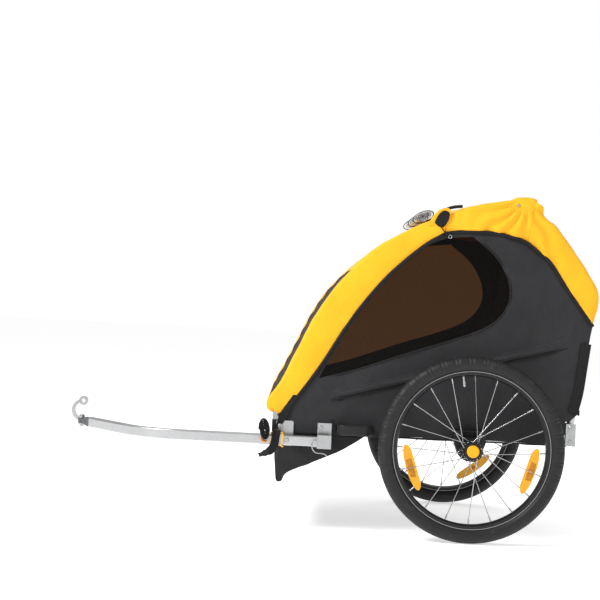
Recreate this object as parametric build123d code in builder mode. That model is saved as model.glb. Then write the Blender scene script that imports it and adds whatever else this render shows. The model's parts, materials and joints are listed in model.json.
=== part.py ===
"""A two-seat child bicycle trailer, in millimetres.

Frame: +X to the rear, +Y to the trailer's right, +Z up. The pieces are drawn from a point on the ground
midway between the wheels, and saved with the origin on the ground in the middle of the whole footprint.
The trailer is built from a flat base frame with a fabric floor and footwell, a large roll hoop hinged at
the front corners, a short rear hoop hinged at the rear corners, fabric walls and covers, a two-child seat,
a tow bar that pivots on the left rail, and two spoked wheels on pull-out axles with push buttons.
Each sub-part is a closed solid, or a group of identical closed solids, written to parts/NAME.step.
"""

import math
import os

from build123d import *

# ---------------------------------------------------------------- driving dimensions
AXLE_X = 384.3  # the wheels' place behind the middle of the footprint
TYRE_RADIUS = 243.0  # outside of a 40-406 tyre
TYRE_SECTION = 20.0  # radius of the tyre's round section
WHEEL_Y = 357.5  # tyre centre plane from the trailer's centre plane
AXLE_Z = TYRE_RADIUS
SPOKES = 20

RAIL = 28.0  # square base tube
RAIL_WALL = 2.0
RAIL_Y = 264.0
RAIL_Z = 274.0
FRONT_X = -508.0  # centre of the front cross tube and hinge
REAR_X = 270.0  # centre of the rear cross tube and hinge
CORNER = 29.0  # corner connector, along X and Y
CORNER_HIGH = 32.0
CORNER_SCREW_Z = RAIL_Z - 5
CORNER_SCREW_END = RAIL_Y - 6  # |Y| of the end of its bore

HOOP_RADIUS = 12.5  # roll hoop tube
HOOP_Y = 262.0
FRONT_PIVOT_Z = 310.0
REAR_HOOP_RADIUS = 10.0
REAR_HOOP_Y = 264.0
REAR_PIVOT_Z = 307.0
PIVOT_PIN = 4.0  # radius of the hinge bolts
RUNNING = 0.06  # radial running clearance
THROUGH = 400.0  # half the length of a bore that passes both sides of the trailer

PANEL_Y = 279.0  # inner face of the side panels
PANEL = 2.0
BAND_Y = 282.5  # inner face of the covers' side bands
FABRIC = 2.0

TOW = 26.0  # square tow bar
TOW_WALL = 2.0
TOW_Y = -303.5
TOW_Z = 240.0
TOW_TAIL_X = -366.0
TOW_PIVOT_X = -482.0
TOW_BEND_X = -760.0
TOW_BEND_RADIUS = 200.0
TOW_BEND_ANGLE = 50.0
TOW_NOSE = 175.0  # straight length after the bend
PIN_X = -406.0  # tail pin through the tow bar
RECEIVER_SCREW = (-393.0, 274.0)  # (x, z) of the screws into the left rail
BRACKET_SCREW = (-500.0, 274.0)
HITCH_BORE = 5.25  # radius, for the bicycle's rear axle

AXLE_RADIUS = 6.0
AXLE_INNER_Y = 286.0
HUB_INNER_Y = 326.0
HUB_OUTER_Y = 386.0
FLANGE_Y = 20.0  # spoke flanges either side of the tyre's centre plane
FLANGE_RADIUS = 28.0
SPOKE_CIRCLE = 22.5
BUTTON_RADIUS = 16.0
REFLECTOR_RADIUS = 160.5

BUCKLE_Y = 115.0  # each child's centre line
BUCKLE_X = -45.0
SEAT_TOP = 322.0

# side outlines, (x, z)
HOOP_SIDE = [(FRONT_X, FRONT_PIVOT_Z), (-399, 583), (-257, 722), (-80, 836), (112, 888)]
REAR_KNEE = (306.0, 645.0)
COVER_FRONT = [(-526, 318), (-540, 338), (-508, 407), (-427, 578), (-331, 701), (-181, 813), (-94, 852)]
COVER_TOP = [(-94, 852), (-20, 876), (84, 903), (124, 912), (160, 893)]
COVER_REAR = [(160, 893), (199, 845), (270, 757), (319, 683), (326, 640), (316, 584)]
SEAM_FRONT = [(-502, 322), (-462, 352), (-395, 450), (-287, 622), (-149, 768), (-90, 806)]
SEAM_TOP = [(-90, 806), (-20, 818), (72, 811), (132, 793)]
SEAM_REAR = [(132, 793), (195, 742), (246, 670), (316, 584)]
PANEL_CORNER = (310, 583)
WINDOW_TOP = [(-400, 404), (-379, 441), (-273, 611), (-137, 754), (-84, 786), (-14, 792)]
WINDOW_REAR = [(-14, 792), (50, 740), (88, 662), (62, 590), (-25, 537)]
WINDOW_BOTTOM = [(-25, 537), (-245, 459), (-400, 404)]

SIDES = {"left": -1, "right": 1}

os.makedirs("parts", exist_ok=True)


def save(label, *pieces):
    """Moves one sub-part's pieces from the wheels' frame to the trailer's own, and writes them."""
    placed = [piece.moved(Location((AXLE_X, 0, 0))) for piece in pieces]
    node = placed[0] if len(placed) == 1 else Compound(children=placed)
    node.label = label
    export_step(node, f"parts/{label}.step")


def side_plane(y):
    """A sketch plane at that Y, with sketch x along X and sketch y along Z. It extrudes towards -Y."""
    return Plane(origin=(0, y, 0), x_dir=(1, 0, 0), z_dir=(0, -1, 0))


def wheel_centre(side):
    """Centre of the wheel on the left (-1) or the right (1)."""
    return (0, side * WHEEL_Y, AXLE_Z)


def wheel_section(side):
    """A plane through a wheel's centre: sketch x is the radius, sketch y points away from the trailer."""
    return Plane(origin=wheel_centre(side), x_dir=(1, 0, 0), z_dir=(0, 0, side))


def wheel_axis(side):
    """The wheel's axis, pointing away from the trailer."""
    return Axis(wheel_centre(side), (0, side, 0))


def along_y(x, z):
    """A plane whose normal is +Y, for the pins and bores along Y."""
    return Plane(origin=(x, 0, z), z_dir=(0, 1, 0))


def valve_plane(side, radius):
    """A plane across the valve's stem, at that distance from the wheel's centre."""
    pitch = math.radians(360 / SPOKES)
    outward = Vector(math.cos(5.5 * pitch), 0, math.sin(5.5 * pitch))
    return Plane(origin=Vector(*wheel_centre(side)) + outward * radius, z_dir=outward)


def square_tube(start, end, size, wall):
    """A straight square tube along X or Y."""
    middle = [(a + b) / 2 for a, b in zip(start, end)]
    along_x = abs(end[0] - start[0]) > 1
    length = abs(end[0] - start[0]) + abs(end[1] - start[1])
    outer = (length, size, size) if along_x else (size, length, size)
    hollow = size - 2 * wall
    inner = (length + 1, hollow, hollow) if along_x else (hollow, length + 1, hollow)
    with BuildPart(Plane(origin=middle)) as tube:
        Box(*outer)
        Box(*inner, mode=Mode.SUBTRACT)
    return tube.part


# ---------------------------------------------------------------- base frame
def screw_plane(side, y):
    """A plane across the rear corner screw at that |Y|, facing away from the trailer."""
    return Plane(origin=(REAR_X, side * y, CORNER_SCREW_Z), x_dir=(1, 0, 0), z_dir=(0, side, 0))


def build_base_frame():
    """Two side rails, three cross tubes, the axle beam and the four corner connectors."""
    half = CORNER / 2
    rails = []
    for side in SIDES.values():
        start = (FRONT_X + half, side * RAIL_Y, RAIL_Z)
        end = (REAR_X - half, side * RAIL_Y, RAIL_Z)
        rails.append(square_tube(start, end, RAIL, RAIL_WALL))
    save("side_rails", *rails)

    inner = RAIL_Y - half
    seat_tube_x, seat_inner = -190.0, RAIL_Y - RAIL / 2
    cross = [
        square_tube((FRONT_X, -inner, RAIL_Z), (FRONT_X, inner, RAIL_Z), RAIL, RAIL_WALL),
        square_tube((seat_tube_x, -seat_inner, RAIL_Z), (seat_tube_x, seat_inner, RAIL_Z), RAIL, RAIL_WALL),
        square_tube((REAR_X, -inner, RAIL_Z), (REAR_X, inner, RAIL_Z), RAIL, RAIL_WALL),
    ]
    save("cross_tubes", *cross)

    beam_end, beam_size, beam_z = 281.5, 24.0, 240.0
    save("axle_beam", square_tube((0, -beam_end, beam_z), (0, beam_end, beam_z), beam_size, RAIL_WALL))

    spigot = RAIL - 2 * RAIL_WALL - 0.4
    reach = 22.0
    corners = []
    for x, inward in ((FRONT_X, 1), (REAR_X, -1)):
        for side in SIDES.values():
            with BuildPart(Plane(origin=(x, side * RAIL_Y, RAIL_Z))) as corner:
                Box(CORNER, CORNER, CORNER_HIGH)
                fillet(corner.edges().filter_by(Axis.Z), 3)
                with Locations((inward * (half + reach / 2), 0, 0)):
                    Box(reach, spigot, spigot)
                with Locations((0, -side * (half + reach / 2), 0)):
                    Box(spigot, reach, spigot)
                if x == REAR_X:
                    with BuildSketch(screw_plane(side, CORNER_SCREW_END)):
                        Circle(PIVOT_PIN + RUNNING)
                    extrude(amount=half + 10, mode=Mode.SUBTRACT)
            corners.append(corner.part)
    save("corner_connectors", *corners)


def build_hinge_brackets():
    """A U bracket on each corner, for the hoops' hinges. The rear ones reach down and are screwed on."""
    sheet = 3.0
    corner_top = RAIL_Z + CORNER_HIGH / 2 + 0.2
    brackets = []
    for x, y, gap, high, pivot_z in (
        (FRONT_X, HOOP_Y, HOOP_RADIUS + 1, 29.0, FRONT_PIVOT_Z),
        (REAR_X, REAR_HOOP_Y, CORNER / 2 + 0.5, 27.0, REAR_PIVOT_Z),
    ):
        for side in SIDES.values():
            with BuildPart() as bracket:
                with BuildSketch(Plane.YZ.offset(x - 13)):
                    with Locations((side * y, corner_top + sheet / 2)):
                        Rectangle(2 * gap + 2 * sheet, sheet)
                    for wall in (-gap - sheet / 2, gap + sheet / 2):
                        with Locations((side * y + wall, corner_top + high / 2)):
                            Rectangle(sheet, high)
                    if x == REAR_X:
                        with Locations((side * (y + gap + sheet / 2), corner_top - 15)):
                            Rectangle(sheet, 32)
                extrude(amount=26)
                with Locations(along_y(x, pivot_z)):
                    Hole(PIVOT_PIN + RUNNING, THROUGH)
                if x == REAR_X:
                    with Locations(along_y(x, CORNER_SCREW_Z)):
                        Hole(PIVOT_PIN + RUNNING, THROUGH)
            brackets.append(bracket.part)
    save("hinge_brackets", *brackets)


def build_frame_bolts():
    """The hoops' hinge bolts, the rear corner screws, and the screws of the tow bar's mounts."""
    bolts = []
    for side in SIDES.values():
        front_wall = HOOP_RADIUS + 1 + 3.2
        rear_wall = CORNER / 2 + 0.5 + 3.2
        bolts.append(button_bolt(side, FRONT_X, FRONT_PIVOT_Z, HOOP_Y + front_wall, HOOP_Y - front_wall))
        outside = REAR_HOOP_Y + rear_wall
        bolts.append(button_bolt(side, REAR_X, REAR_PIVOT_Z, outside, REAR_HOOP_Y - rear_wall))
        outside = RAIL_Y + rear_wall
        bolts.append(button_bolt(side, REAR_X, CORNER_SCREW_Z, outside, CORNER_SCREW_END + 1, nut=False))
    for x, z in (RECEIVER_SCREW, BRACKET_SCREW):
        bolts.append(button_bolt(-1, x, z, 286.2, 278.7, nut=False))
    save("frame_bolts", *bolts)


def button_bolt(side, x, z, outer, inner, nut=True):
    """A button-headed bolt along Y: its head sits on outer and its shank ends at inner, both as |Y|."""
    outward = Plane(origin=(x, 0, z), x_dir=(1, 0, 0), z_dir=(0, side, 0))
    with BuildPart() as piece:
        with BuildSketch(outward.offset(inner)):
            Circle(PIVOT_PIN)
        extrude(amount=outer - inner)
        with BuildSketch(outward.offset(outer)):
            Circle(6.5)
        extrude(amount=3.3)
        chamfer(piece.faces().sort_by(Axis(outward.origin, outward.z_dir))[-1].edges(), 1.2)
        with BuildSketch(outward.offset(outer + 1.5)):
            RegularPolygon(2.6, 6)
        extrude(amount=3, mode=Mode.SUBTRACT)
        if nut:
            with BuildSketch(outward.offset(inner)):
                RegularPolygon(6.5, 6)
            extrude(amount=-4.5)
    return piece.part


# ---------------------------------------------------------------- hoops
def tube_along(points, radius, wall, bend):
    """A round tube along a bent line through the points, which start and end along Z or nearly so."""
    with BuildPart() as tube:
        with BuildLine():
            path = FilletPolyline(*points, radius=bend)
        with BuildSketch(Plane(origin=path @ 0, z_dir=path % 0)):
            Circle(radius)
            Circle(radius - wall, mode=Mode.SUBTRACT)
        sweep()
    return tube.part


def below_pivot(points, amount):
    """The same side outline, started a little below its first point along its first leg."""
    (x0, z0), (x1, z1) = points[:2]
    run = math.hypot(x1 - x0, z1 - z0)
    return [(x0 - (x1 - x0) / run * amount, z0 - (z1 - z0) / run * amount)] + points[1:]


def build_hoops():
    """The roll hoop and the rear hoop: each a bent tube with a leg either side and its own cross bar."""
    for label, outline, y, radius, wall, bend in (
        ("roll_hoop", HOOP_SIDE, HOOP_Y, HOOP_RADIUS, 2.0, 70),
        ("rear_hoop", [(REAR_X, REAR_PIVOT_Z), REAR_KNEE], REAR_HOOP_Y, REAR_HOOP_RADIUS, 1.8, 55),
    ):
        pivot_x, pivot_z = outline[0]
        side = below_pivot(outline, 5)
        points = [(x, -y, z) for x, z in side] + [(x, y, z) for x, z in reversed(side)]
        with BuildPart() as hoop:
            add(tube_along(points, radius, wall, bend))
            with Locations(along_y(pivot_x, pivot_z)):
                Hole(PIVOT_PIN + RUNNING, THROUGH)
        save(label, hoop.part)

    bar_x, bar_z, bar_radius = -96.0, 828.0, 9.0
    reach = HOOP_Y - HOOP_RADIUS - 0.3
    with BuildPart() as bar:
        with Locations(along_y(bar_x, bar_z)):
            Cylinder(bar_radius, 2 * reach)
            Cylinder(bar_radius - 1.8, 2 * reach, mode=Mode.SUBTRACT)
    save("top_crossbar", bar.part)


# ---------------------------------------------------------------- axle brackets, guards, tow bar mounts
def build_axle_brackets():
    """A moulded bracket outside each rail, with a boss round the axle's bore, and two bolts."""
    inner, outer, boss = 282.0, 318.0, 34.0
    brackets = []
    for side in SIDES.values():
        start = outer if side > 0 else -inner
        with BuildPart() as bracket:
            with BuildSketch(side_plane(start)):
                with Locations((0, AXLE_Z)):
                    Circle(boss)
                with Locations((0, RAIL_Z)):
                    Rectangle(84, 30)
                make_hull()
            extrude(amount=outer - inner)
            fillet(bracket.edges().filter_by(GeomType.LINE).filter_by(Axis.Y), 4)
            with BuildSketch(side_plane(side * outer + (0 if side > 0 else 16))):
                with Locations((0, RAIL_Z + 6)):
                    SlotOverall(46, 14)
            extrude(amount=16, mode=Mode.SUBTRACT)
            with Locations(along_y(0, AXLE_Z)):
                Hole(AXLE_RADIUS + RUNNING, THROUGH)
        brackets.append(bracket.part)
    save("axle_brackets", *brackets)


def build_wheel_guards():
    """A U of flat tube outside each rail, just ahead of the tyre."""
    near, far, front, rear = 282.3, 322.0, -350.0, -256.0
    guards = []
    for side in SIDES.values():
        with BuildPart() as guard:
            with BuildLine():
                path = FilletPolyline(
                    (front + 8, side * near, RAIL_Z),
                    (front + 8, side * (far - 8), RAIL_Z),
                    (rear - 8, side * (far - 8), RAIL_Z),
                    (rear - 8, side * near, RAIL_Z),
                    radius=14,
                )
            with BuildSketch(Plane(origin=path @ 0, x_dir=(1, 0, 0), z_dir=path % 0)):
                RectangleRounded(16, 28, 5)
            sweep()
        guards.append(guard.part)
    save("wheel_guards", *guards)


def build_tow_mounts():
    """The plate that carries the tow bar's pivot, and the open receiver for its tail and tail pin."""
    half = TOW / 2
    plate_in, plate_out = -282.3, -286.0
    with BuildPart() as bracket:
        with BuildSketch(side_plane(plate_in)):
            with Locations((TOW_PIVOT_X - 6, TOW_Z + 16)):
                RectangleRounded(46, 66, 5)
        extrude(amount=plate_in - plate_out)
        with Locations(along_y(TOW_PIVOT_X, TOW_Z), along_y(*BRACKET_SCREW)):
            Hole(PIVOT_PIN + RUNNING, THROUGH)
    save("tow_bar_bracket", bracket.part)

    front, rear = -401.0, -364.0
    wall_in, wall_out, floor_z = TOW_Y - half - 1.2, TOW_Y - half - 4.8, TOW_Z - half - 4.5
    with BuildPart() as receiver:
        with BuildSketch(Plane.YZ.offset(front)):
            with Locations(((plate_in + plate_out) / 2, (floor_z + 287) / 2)):
                Rectangle(plate_in - plate_out, 287 - floor_z)
            with Locations(((plate_in + wall_out) / 2, floor_z + 1.5)):
                Rectangle(plate_in - wall_out, 3)
            with Locations(((wall_in + wall_out) / 2, (floor_z + TOW_Z + half + 5) / 2)):
                Rectangle(wall_in - wall_out, TOW_Z + half + 5 - floor_z)
        extrude(amount=rear - front)
        # the inner wall runs forward, past the tail pin, with a slot that is open upwards
        with BuildSketch(side_plane(plate_in)):
            with Locations((front - 7.5, (floor_z + TOW_Z + 10) / 2)):
                Rectangle(15, TOW_Z + 10 - floor_z)
        extrude(amount=plate_in - plate_out)
        with BuildSketch(side_plane(plate_in + 1)):
            with Locations((PIN_X - 0.4, TOW_Z)):
                Circle(4)
            with Locations((PIN_X - 0.4, TOW_Z + 7)):
                Rectangle(8, 14)
        extrude(amount=plate_in - plate_out + 2, mode=Mode.SUBTRACT)
        with Locations(along_y(*RECEIVER_SCREW)):
            Hole(PIVOT_PIN + RUNNING, THROUGH)
    save("tow_bar_receiver", receiver.part)

    with BuildPart() as clip:
        with BuildSketch(Plane.YZ.offset(-503)):
            with Locations((TOW_Y - 1.2, TOW_Z)):
                Rectangle(TOW + 2, TOW + 4.4)
            with Locations((TOW_Y, TOW_Z)):
                Rectangle(TOW + 0.4, TOW + 0.4, mode=Mode.SUBTRACT)
        extrude(amount=10)
    save("strap_clip", clip.part)


# ---------------------------------------------------------------- tow bar and hitch
def tow_nose():
    """The tow bar's front end and its direction there."""
    turn = math.radians(TOW_BEND_ANGLE)
    x = TOW_BEND_X - TOW_BEND_RADIUS * math.sin(turn) - TOW_NOSE * math.cos(turn)
    y = TOW_Y + TOW_BEND_RADIUS * (1 - math.cos(turn)) + TOW_NOSE * math.sin(turn)
    return Vector(x, y, TOW_Z), Vector(-math.cos(turn), math.sin(turn), 0)


def build_tow_bar():
    """A square tube, straight along the left rail and bent in towards the bicycle's rear axle."""
    with BuildPart() as bar:
        with BuildLine() as line:
            back = Line((TOW_TAIL_X, TOW_Y, TOW_Z), (TOW_BEND_X, TOW_Y, TOW_Z))
            bend = JernArc(back @ 1, back % 1, TOW_BEND_RADIUS, -TOW_BEND_ANGLE)
            Line(bend @ 1, (bend @ 1) + TOW_NOSE * (bend % 1))
        with BuildSketch(Plane(origin=back @ 0, x_dir=(0, 1, 0), z_dir=(-1, 0, 0))):
            RectangleRounded(TOW, TOW, 3)
            RectangleRounded(TOW - 2 * TOW_WALL, TOW - 2 * TOW_WALL, 1.5, mode=Mode.SUBTRACT)
        sweep(path=line.wires()[0])
        for x, radius in ((TOW_PIVOT_X, PIVOT_PIN + RUNNING), (PIN_X, 3.1)):
            with Locations(along_y(x, TOW_Z)):
                Hole(radius, THROUGH)
    save("tow_bar", bar.part)

    nose, along = tow_nose()
    inside = TOW - 2 * TOW_WALL - 0.4
    with BuildPart() as plug:
        with BuildSketch(Plane(origin=nose + along * 0.1, x_dir=(0, 0, 1), z_dir=along)):
            RectangleRounded(TOW, TOW, 4)
        extrude(amount=15)
        chamfer(plug.faces().sort_by(Axis(nose, along))[-1].edges(), 2)
        with BuildSketch(Plane(origin=nose + along * 1, x_dir=(0, 0, 1), z_dir=-along)):
            RectangleRounded(inside, inside, 1.5)
        extrude(amount=31)
    save("tow_bar_plug", plug.part)

    with BuildPart() as pivot:
        with BuildSketch(side_plane(TOW_Y - TOW / 2 - 0.1)):
            with Locations((TOW_PIVOT_X, TOW_Z)):
                Circle(7)
        extrude(amount=3.5)
        chamfer(pivot.faces().sort_by(Axis.Y)[0].edges(), 1.2)
        with BuildSketch(side_plane(TOW_Y - TOW / 2 - 2.1)):
            with Locations((TOW_PIVOT_X, TOW_Z)):
                RegularPolygon(2.8, 6)
        extrude(amount=3, mode=Mode.SUBTRACT)
        with BuildSketch(side_plane(-280.4)):
            with Locations((TOW_PIVOT_X, TOW_Z)):
                Circle(PIVOT_PIN)
        extrude(until=Until.NEXT)
    save("tow_pivot_bolt", pivot.part)


def build_tail_pin():
    """The pin through the bar's tail, with a wire loop that hangs below the receiver."""
    head_y = TOW_Y - TOW / 2 - 0.2
    loop_y = head_y - 7
    wire = 1.4
    with BuildPart() as pin:
        for radius, inner_y, outer_y in ((3.0, -282.6, loop_y), (5.0, head_y, loop_y - 3)):
            with BuildSketch(side_plane(inner_y)):
                with Locations((PIN_X, TOW_Z)):
                    Circle(radius)
            extrude(amount=inner_y - outer_y)
        with BuildLine() as line:
            Spline(
                (PIN_X, loop_y - 1.4, TOW_Z + 3),
                (PIN_X - 8, loop_y - 1.4, TOW_Z - 8),
                (PIN_X + 2, loop_y - 1.4, TOW_Z - 27),
                (PIN_X + 20, loop_y - 1.4, TOW_Z - 29),
                (PIN_X + 33, loop_y - 1.4, TOW_Z - 36),
            )
        start = line.wires()[0]
        with BuildSketch(Plane(origin=start @ 0, z_dir=start % 0)):
            Circle(wire)
        sweep(path=start)
    save("tail_pin", pin.part)


def build_hitch():
    """The flexible coupler on the bar's nose, the hitch arm round the bicycle's axle, and its pin."""
    nose, along = tow_nose()
    centre = nose + along * 29
    eye = centre + along * 30
    with BuildPart() as coupler:
        with Locations(centre):
            Sphere(12.5)
        with BuildSketch(Plane(origin=centre, z_dir=along)):
            Circle(6.5)
        extrude(amount=25)
        with BuildSketch(Plane.XY.offset(TOW_Z - 7)):
            with Locations((eye.X, eye.Y)):
                Circle(10)
        extrude(amount=14)
        with BuildSketch(Plane.XY.offset(TOW_Z - 20)):
            with Locations((eye.X, eye.Y)):
                Circle(PIVOT_PIN + RUNNING)
        extrude(amount=40, mode=Mode.SUBTRACT)
    save("flex_coupler", coupler.part)

    arm_y, arm_thick, arm_radius = -30.0, 7.0, 27.0
    top_z = TOW_Z + 2 * arm_radius
    with BuildPart() as arm:
        # the C-shaped arm, from the axle's eye round to below, ahead of the coupler
        with BuildSketch(side_plane(arm_y)):
            with Locations((eye.X, TOW_Z + arm_radius)):
                Circle(arm_radius + 5)
                Circle(arm_radius - 5, mode=Mode.SUBTRACT)
            with Locations((eye.X + 25, TOW_Z + arm_radius)):
                Rectangle(50, 200, mode=Mode.SUBTRACT)
            with Locations((eye.X, top_z)):
                Circle(13)
            with Locations((eye.X, TOW_Z)):
                Rectangle(12, 26)
        extrude(amount=arm_thick)
        # two ears above and below the coupler's eye
        for z in (TOW_Z + 7.5, TOW_Z - 12.5):
            with BuildSketch(Plane.XY.offset(z)):
                with Locations((eye.X, eye.Y)):
                    Circle(9)
                with Locations((eye.X, (eye.Y + arm_y) / 2)):
                    Rectangle(12, arm_y - eye.Y)
            extrude(amount=5)
        with BuildSketch(Plane.XY.offset(TOW_Z - 20)):
            with Locations((eye.X, eye.Y)):
                Circle(PIVOT_PIN + RUNNING)
        extrude(amount=40, mode=Mode.SUBTRACT)
        with Locations(along_y(eye.X, top_z)):
            Hole(HITCH_BORE, THROUGH)
    save("hitch_arm", arm.part)

    with BuildPart() as pin:
        with BuildSketch(Plane.XY.offset(TOW_Z - 18)):
            with Locations((eye.X, eye.Y)):
                Circle(PIVOT_PIN)
        extrude(amount=31)
        with BuildSketch(Plane.XY.offset(TOW_Z + 12.8)):
            with Locations((eye.X, eye.Y)):
                Circle(6.5)
        extrude(amount=4)
        fillet(pin.edges().sort_by(Axis.Z)[-1], 1.5)
    save("coupler_pin", pin.part)


# ---------------------------------------------------------------- wheels
def build_wheel(name, side):
    """Tyre, rim, spokes, hub, bearings, reflectors, pull-out axle and its push button, for one side."""
    section, axis = wheel_section(side), wheel_axis(side)
    tube_centre = TYRE_RADIUS - TYRE_SECTION

    with BuildPart() as tyre:
        with BuildSketch(section):
            with Locations((tube_centre, 0)):
                Circle(TYRE_SECTION)
                Circle(TYRE_SECTION - 3.5, mode=Mode.SUBTRACT)
            with Locations((tube_centre - TYRE_SECTION, 0)):
                Rectangle(16, 15, mode=Mode.SUBTRACT)
        revolve(axis=axis)
    save(f"{name}_tyre", tyre.part)

    with BuildPart() as rim:
        with BuildSketch(section):
            with BuildLine():
                Polyline(
                    (192.5, -5), (196, -12), (206.4, -12.6), (206.4, -11), (202.4, -10.6), (201.5, -5),
                    (201.5, 5), (202.4, 10.6), (206.4, 11), (206.4, 12.6), (196, 12), (192.5, 5),
                    close=True,
                )
            make_face()
            with Locations((tube_centre, 0)):
                Circle(TYRE_SECTION + 0.15, mode=Mode.SUBTRACT)
        revolve(axis=axis)
        with BuildSketch(valve_plane(side, 150)):
            Circle(3.1)
        extrude(amount=60, mode=Mode.SUBTRACT)
    save(f"{name}_rim", rim.part)

    with BuildPart() as valve:
        with BuildSketch(valve_plane(side, 172)):
            Circle(3.0)
        extrude(amount=29)
        with BuildSketch(valve_plane(side, 166)):
            Circle(4.0)
        extrude(amount=14)
    save(f"{name}_valve", valve.part)

    spokes = [build_spoke(side, index) for index in range(SPOKES)]
    save(f"{name}_spokes", *spokes)

    inner, outer = HUB_INNER_Y - WHEEL_Y, HUB_OUTER_Y - WHEEL_Y
    bearing_radius, bearing_wide = 14.0, 9.0
    with BuildPart() as hub:
        with BuildSketch(section):
            with BuildLine():
                Polyline(
                    (9, inner), (19, inner), (19, inner + 6), (14.5, -FLANGE_Y + 3), (14.5, FLANGE_Y - 3),
                    (21, FLANGE_Y + 4), (21, outer + 5), (17.5, outer + 5), (17.5, outer - 2),
                    (9, outer - 2),
                    close=True,
                )
            make_face()
            for flange in (-FLANGE_Y, FLANGE_Y):
                with Locations((9 + (FLANGE_RADIUS - 9) / 2, flange)):
                    Rectangle(FLANGE_RADIUS - 9, 3)
            for seat in (inner + bearing_wide / 2, outer - 2 - bearing_wide / 2):
                with Locations((bearing_radius / 2, seat)):
                    Rectangle(bearing_radius, bearing_wide, mode=Mode.SUBTRACT)
        revolve(axis=axis)
    save(f"{name}_hub", hub.part)

    with BuildPart() as bearings:
        with BuildSketch(section):
            for seat in (inner + bearing_wide / 2, outer - 2 - bearing_wide / 2):
                low = AXLE_RADIUS + RUNNING
                high = bearing_radius - 0.02
                with Locations(((low + high) / 2, seat)):
                    Rectangle(high - low, bearing_wide - 0.1)
        revolve(axis=axis)
    save(f"{name}_bearings", bearings.part)

    # two reflectors clipped to the spokes, eight spoke pitches apart
    reflectors = []
    first = -17.0 if side < 0 else -17.0 - 2 * 360 / SPOKES
    middle = Plane(origin=wheel_centre(side), x_dir=(1, 0, 0), z_dir=(0, -1, 0))
    for angle in (first, first - 8 * 360 / SPOKES):
        with BuildPart() as reflector:
            with BuildSketch(middle.offset(-1.5)):
                with Locations(Rot(0, 0, angle) * Pos(REFLECTOR_RADIUS, 0)):
                    Ellipse(15.5, 62)
                with Locations(Rot(0, 0, angle) * Pos(REFLECTOR_RADIUS - 26, 0)):
                    Rectangle(30, 130, mode=Mode.SUBTRACT)
            extrude(amount=3.0)
        reflectors.append(reflector.part)
    save(f"{name}_reflectors", *reflectors)

    axle_in, axle_out = AXLE_INNER_Y - WHEEL_Y, outer - 1.9
    with BuildPart() as axle:
        with BuildSketch(section):
            with BuildLine():
                Polyline(
                    (3.1, axle_in), (AXLE_RADIUS - 1, axle_in), (AXLE_RADIUS, axle_in + 1),
                    (AXLE_RADIUS, axle_out), (11, axle_out), (11, axle_out + 2.5), (3.1, axle_out + 2.5),
                    close=True,
                )
            make_face()
        revolve(axis=axis)
    save(f"{name}_axle", axle.part)

    cap_in = axle_out + 2.5 + 5
    with BuildPart() as button:
        with BuildSketch(section):
            with BuildLine():
                Polyline(
                    (0, axle_in + 6), (3, axle_in + 6), (3, cap_in), (BUTTON_RADIUS, cap_in),
                    (BUTTON_RADIUS, cap_in + 4), (BUTTON_RADIUS - 2, cap_in + 6), (0, cap_in + 6),
                    close=True,
                )
            make_face()
        revolve(axis=axis)
    save(f"{name}_button", button.part)


def build_spoke(side, index):
    """One spoke with its nipple. The flanges alternate, and neighbours on one flange lean opposite ways."""
    pitch = 360 / SPOKES
    flange = 1 if index % 2 else -1
    outer = index // 2 % 2
    lean = 1 if outer else -1
    rim_angle = math.radians(index * pitch)
    hub_angle = math.radians(index * pitch + lean * 36)
    face = flange * (FLANGE_Y + (3.6 if outer else -2.8))
    centre = Vector(*wheel_centre(side))
    across, up = SPOKE_CIRCLE * math.cos(hub_angle), SPOKE_CIRCLE * math.sin(hub_angle)
    inner = centre + Vector(across, side * face, up)
    rim_point = centre + Vector(192.2 * math.cos(rim_angle), side * flange * 2, 192.2 * math.sin(rim_angle))
    along = (rim_point - inner).normalized()
    length = (rim_point - inner).length
    with BuildPart() as spoke:
        with BuildSketch(Plane(origin=inner, z_dir=along)):
            Circle(1.1)
        extrude(amount=length)
        with BuildSketch(Plane(origin=rim_point - along * 13, z_dir=along)):
            Circle(2.0)
        extrude(amount=12.4)
    return spoke.part


# ---------------------------------------------------------------- fabric
def build_floor_tub():
    """The fabric floor under the rails, with the footwell hanging below it at the front."""
    edge, floor_low, floor_high, skin = 277.5, 255.0, 257.5, 2.5
    well_y = 256.0
    well = [(-512, floor_high), (-508, 124), (-486, 124), (-476, 146), (-272, floor_low)]
    inside = [(-509.5, floor_high), (-505.5, 126.5), (-487.6, 126.5), (-477.8, 149), (-277, floor_high)]
    with BuildPart() as tub:
        with BuildSketch(Plane.XY.offset(floor_low)):
            with Locations(((-512 + 262) / 2, 0)):
                Rectangle(512 + 262, 2 * edge)
        extrude(amount=floor_high - floor_low)
        with BuildSketch(side_plane(well_y)):
            with BuildLine():
                Polyline(*well, (-272, floor_high), close=True)
            make_face()
        extrude(amount=2 * well_y)
        with BuildSketch(side_plane(well_y - skin)):
            with BuildLine():
                Polyline(*inside, (-277, floor_high + 10), (-509.5, floor_high + 10), close=True)
            make_face()
        extrude(amount=2 * (well_y - skin), mode=Mode.SUBTRACT)
    save("floor_tub", tub.part)


def window_face(grow=1.0):
    """The window's outline as a sketch on the side view, enlarged about its middle."""
    middle_x, middle_z = -125.0, 620.0

    def enlarged(points):
        return [(middle_x + grow * (x - middle_x), middle_z + grow * (z - middle_z)) for x, z in points]

    with BuildSketch() as sketch:
        with BuildLine():
            Spline(*enlarged(WINDOW_TOP))
            Spline(*enlarged(WINDOW_REAR))
            Spline(*enlarged(WINDOW_BOTTOM))
        make_face()
    return sketch.sketch


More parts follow.
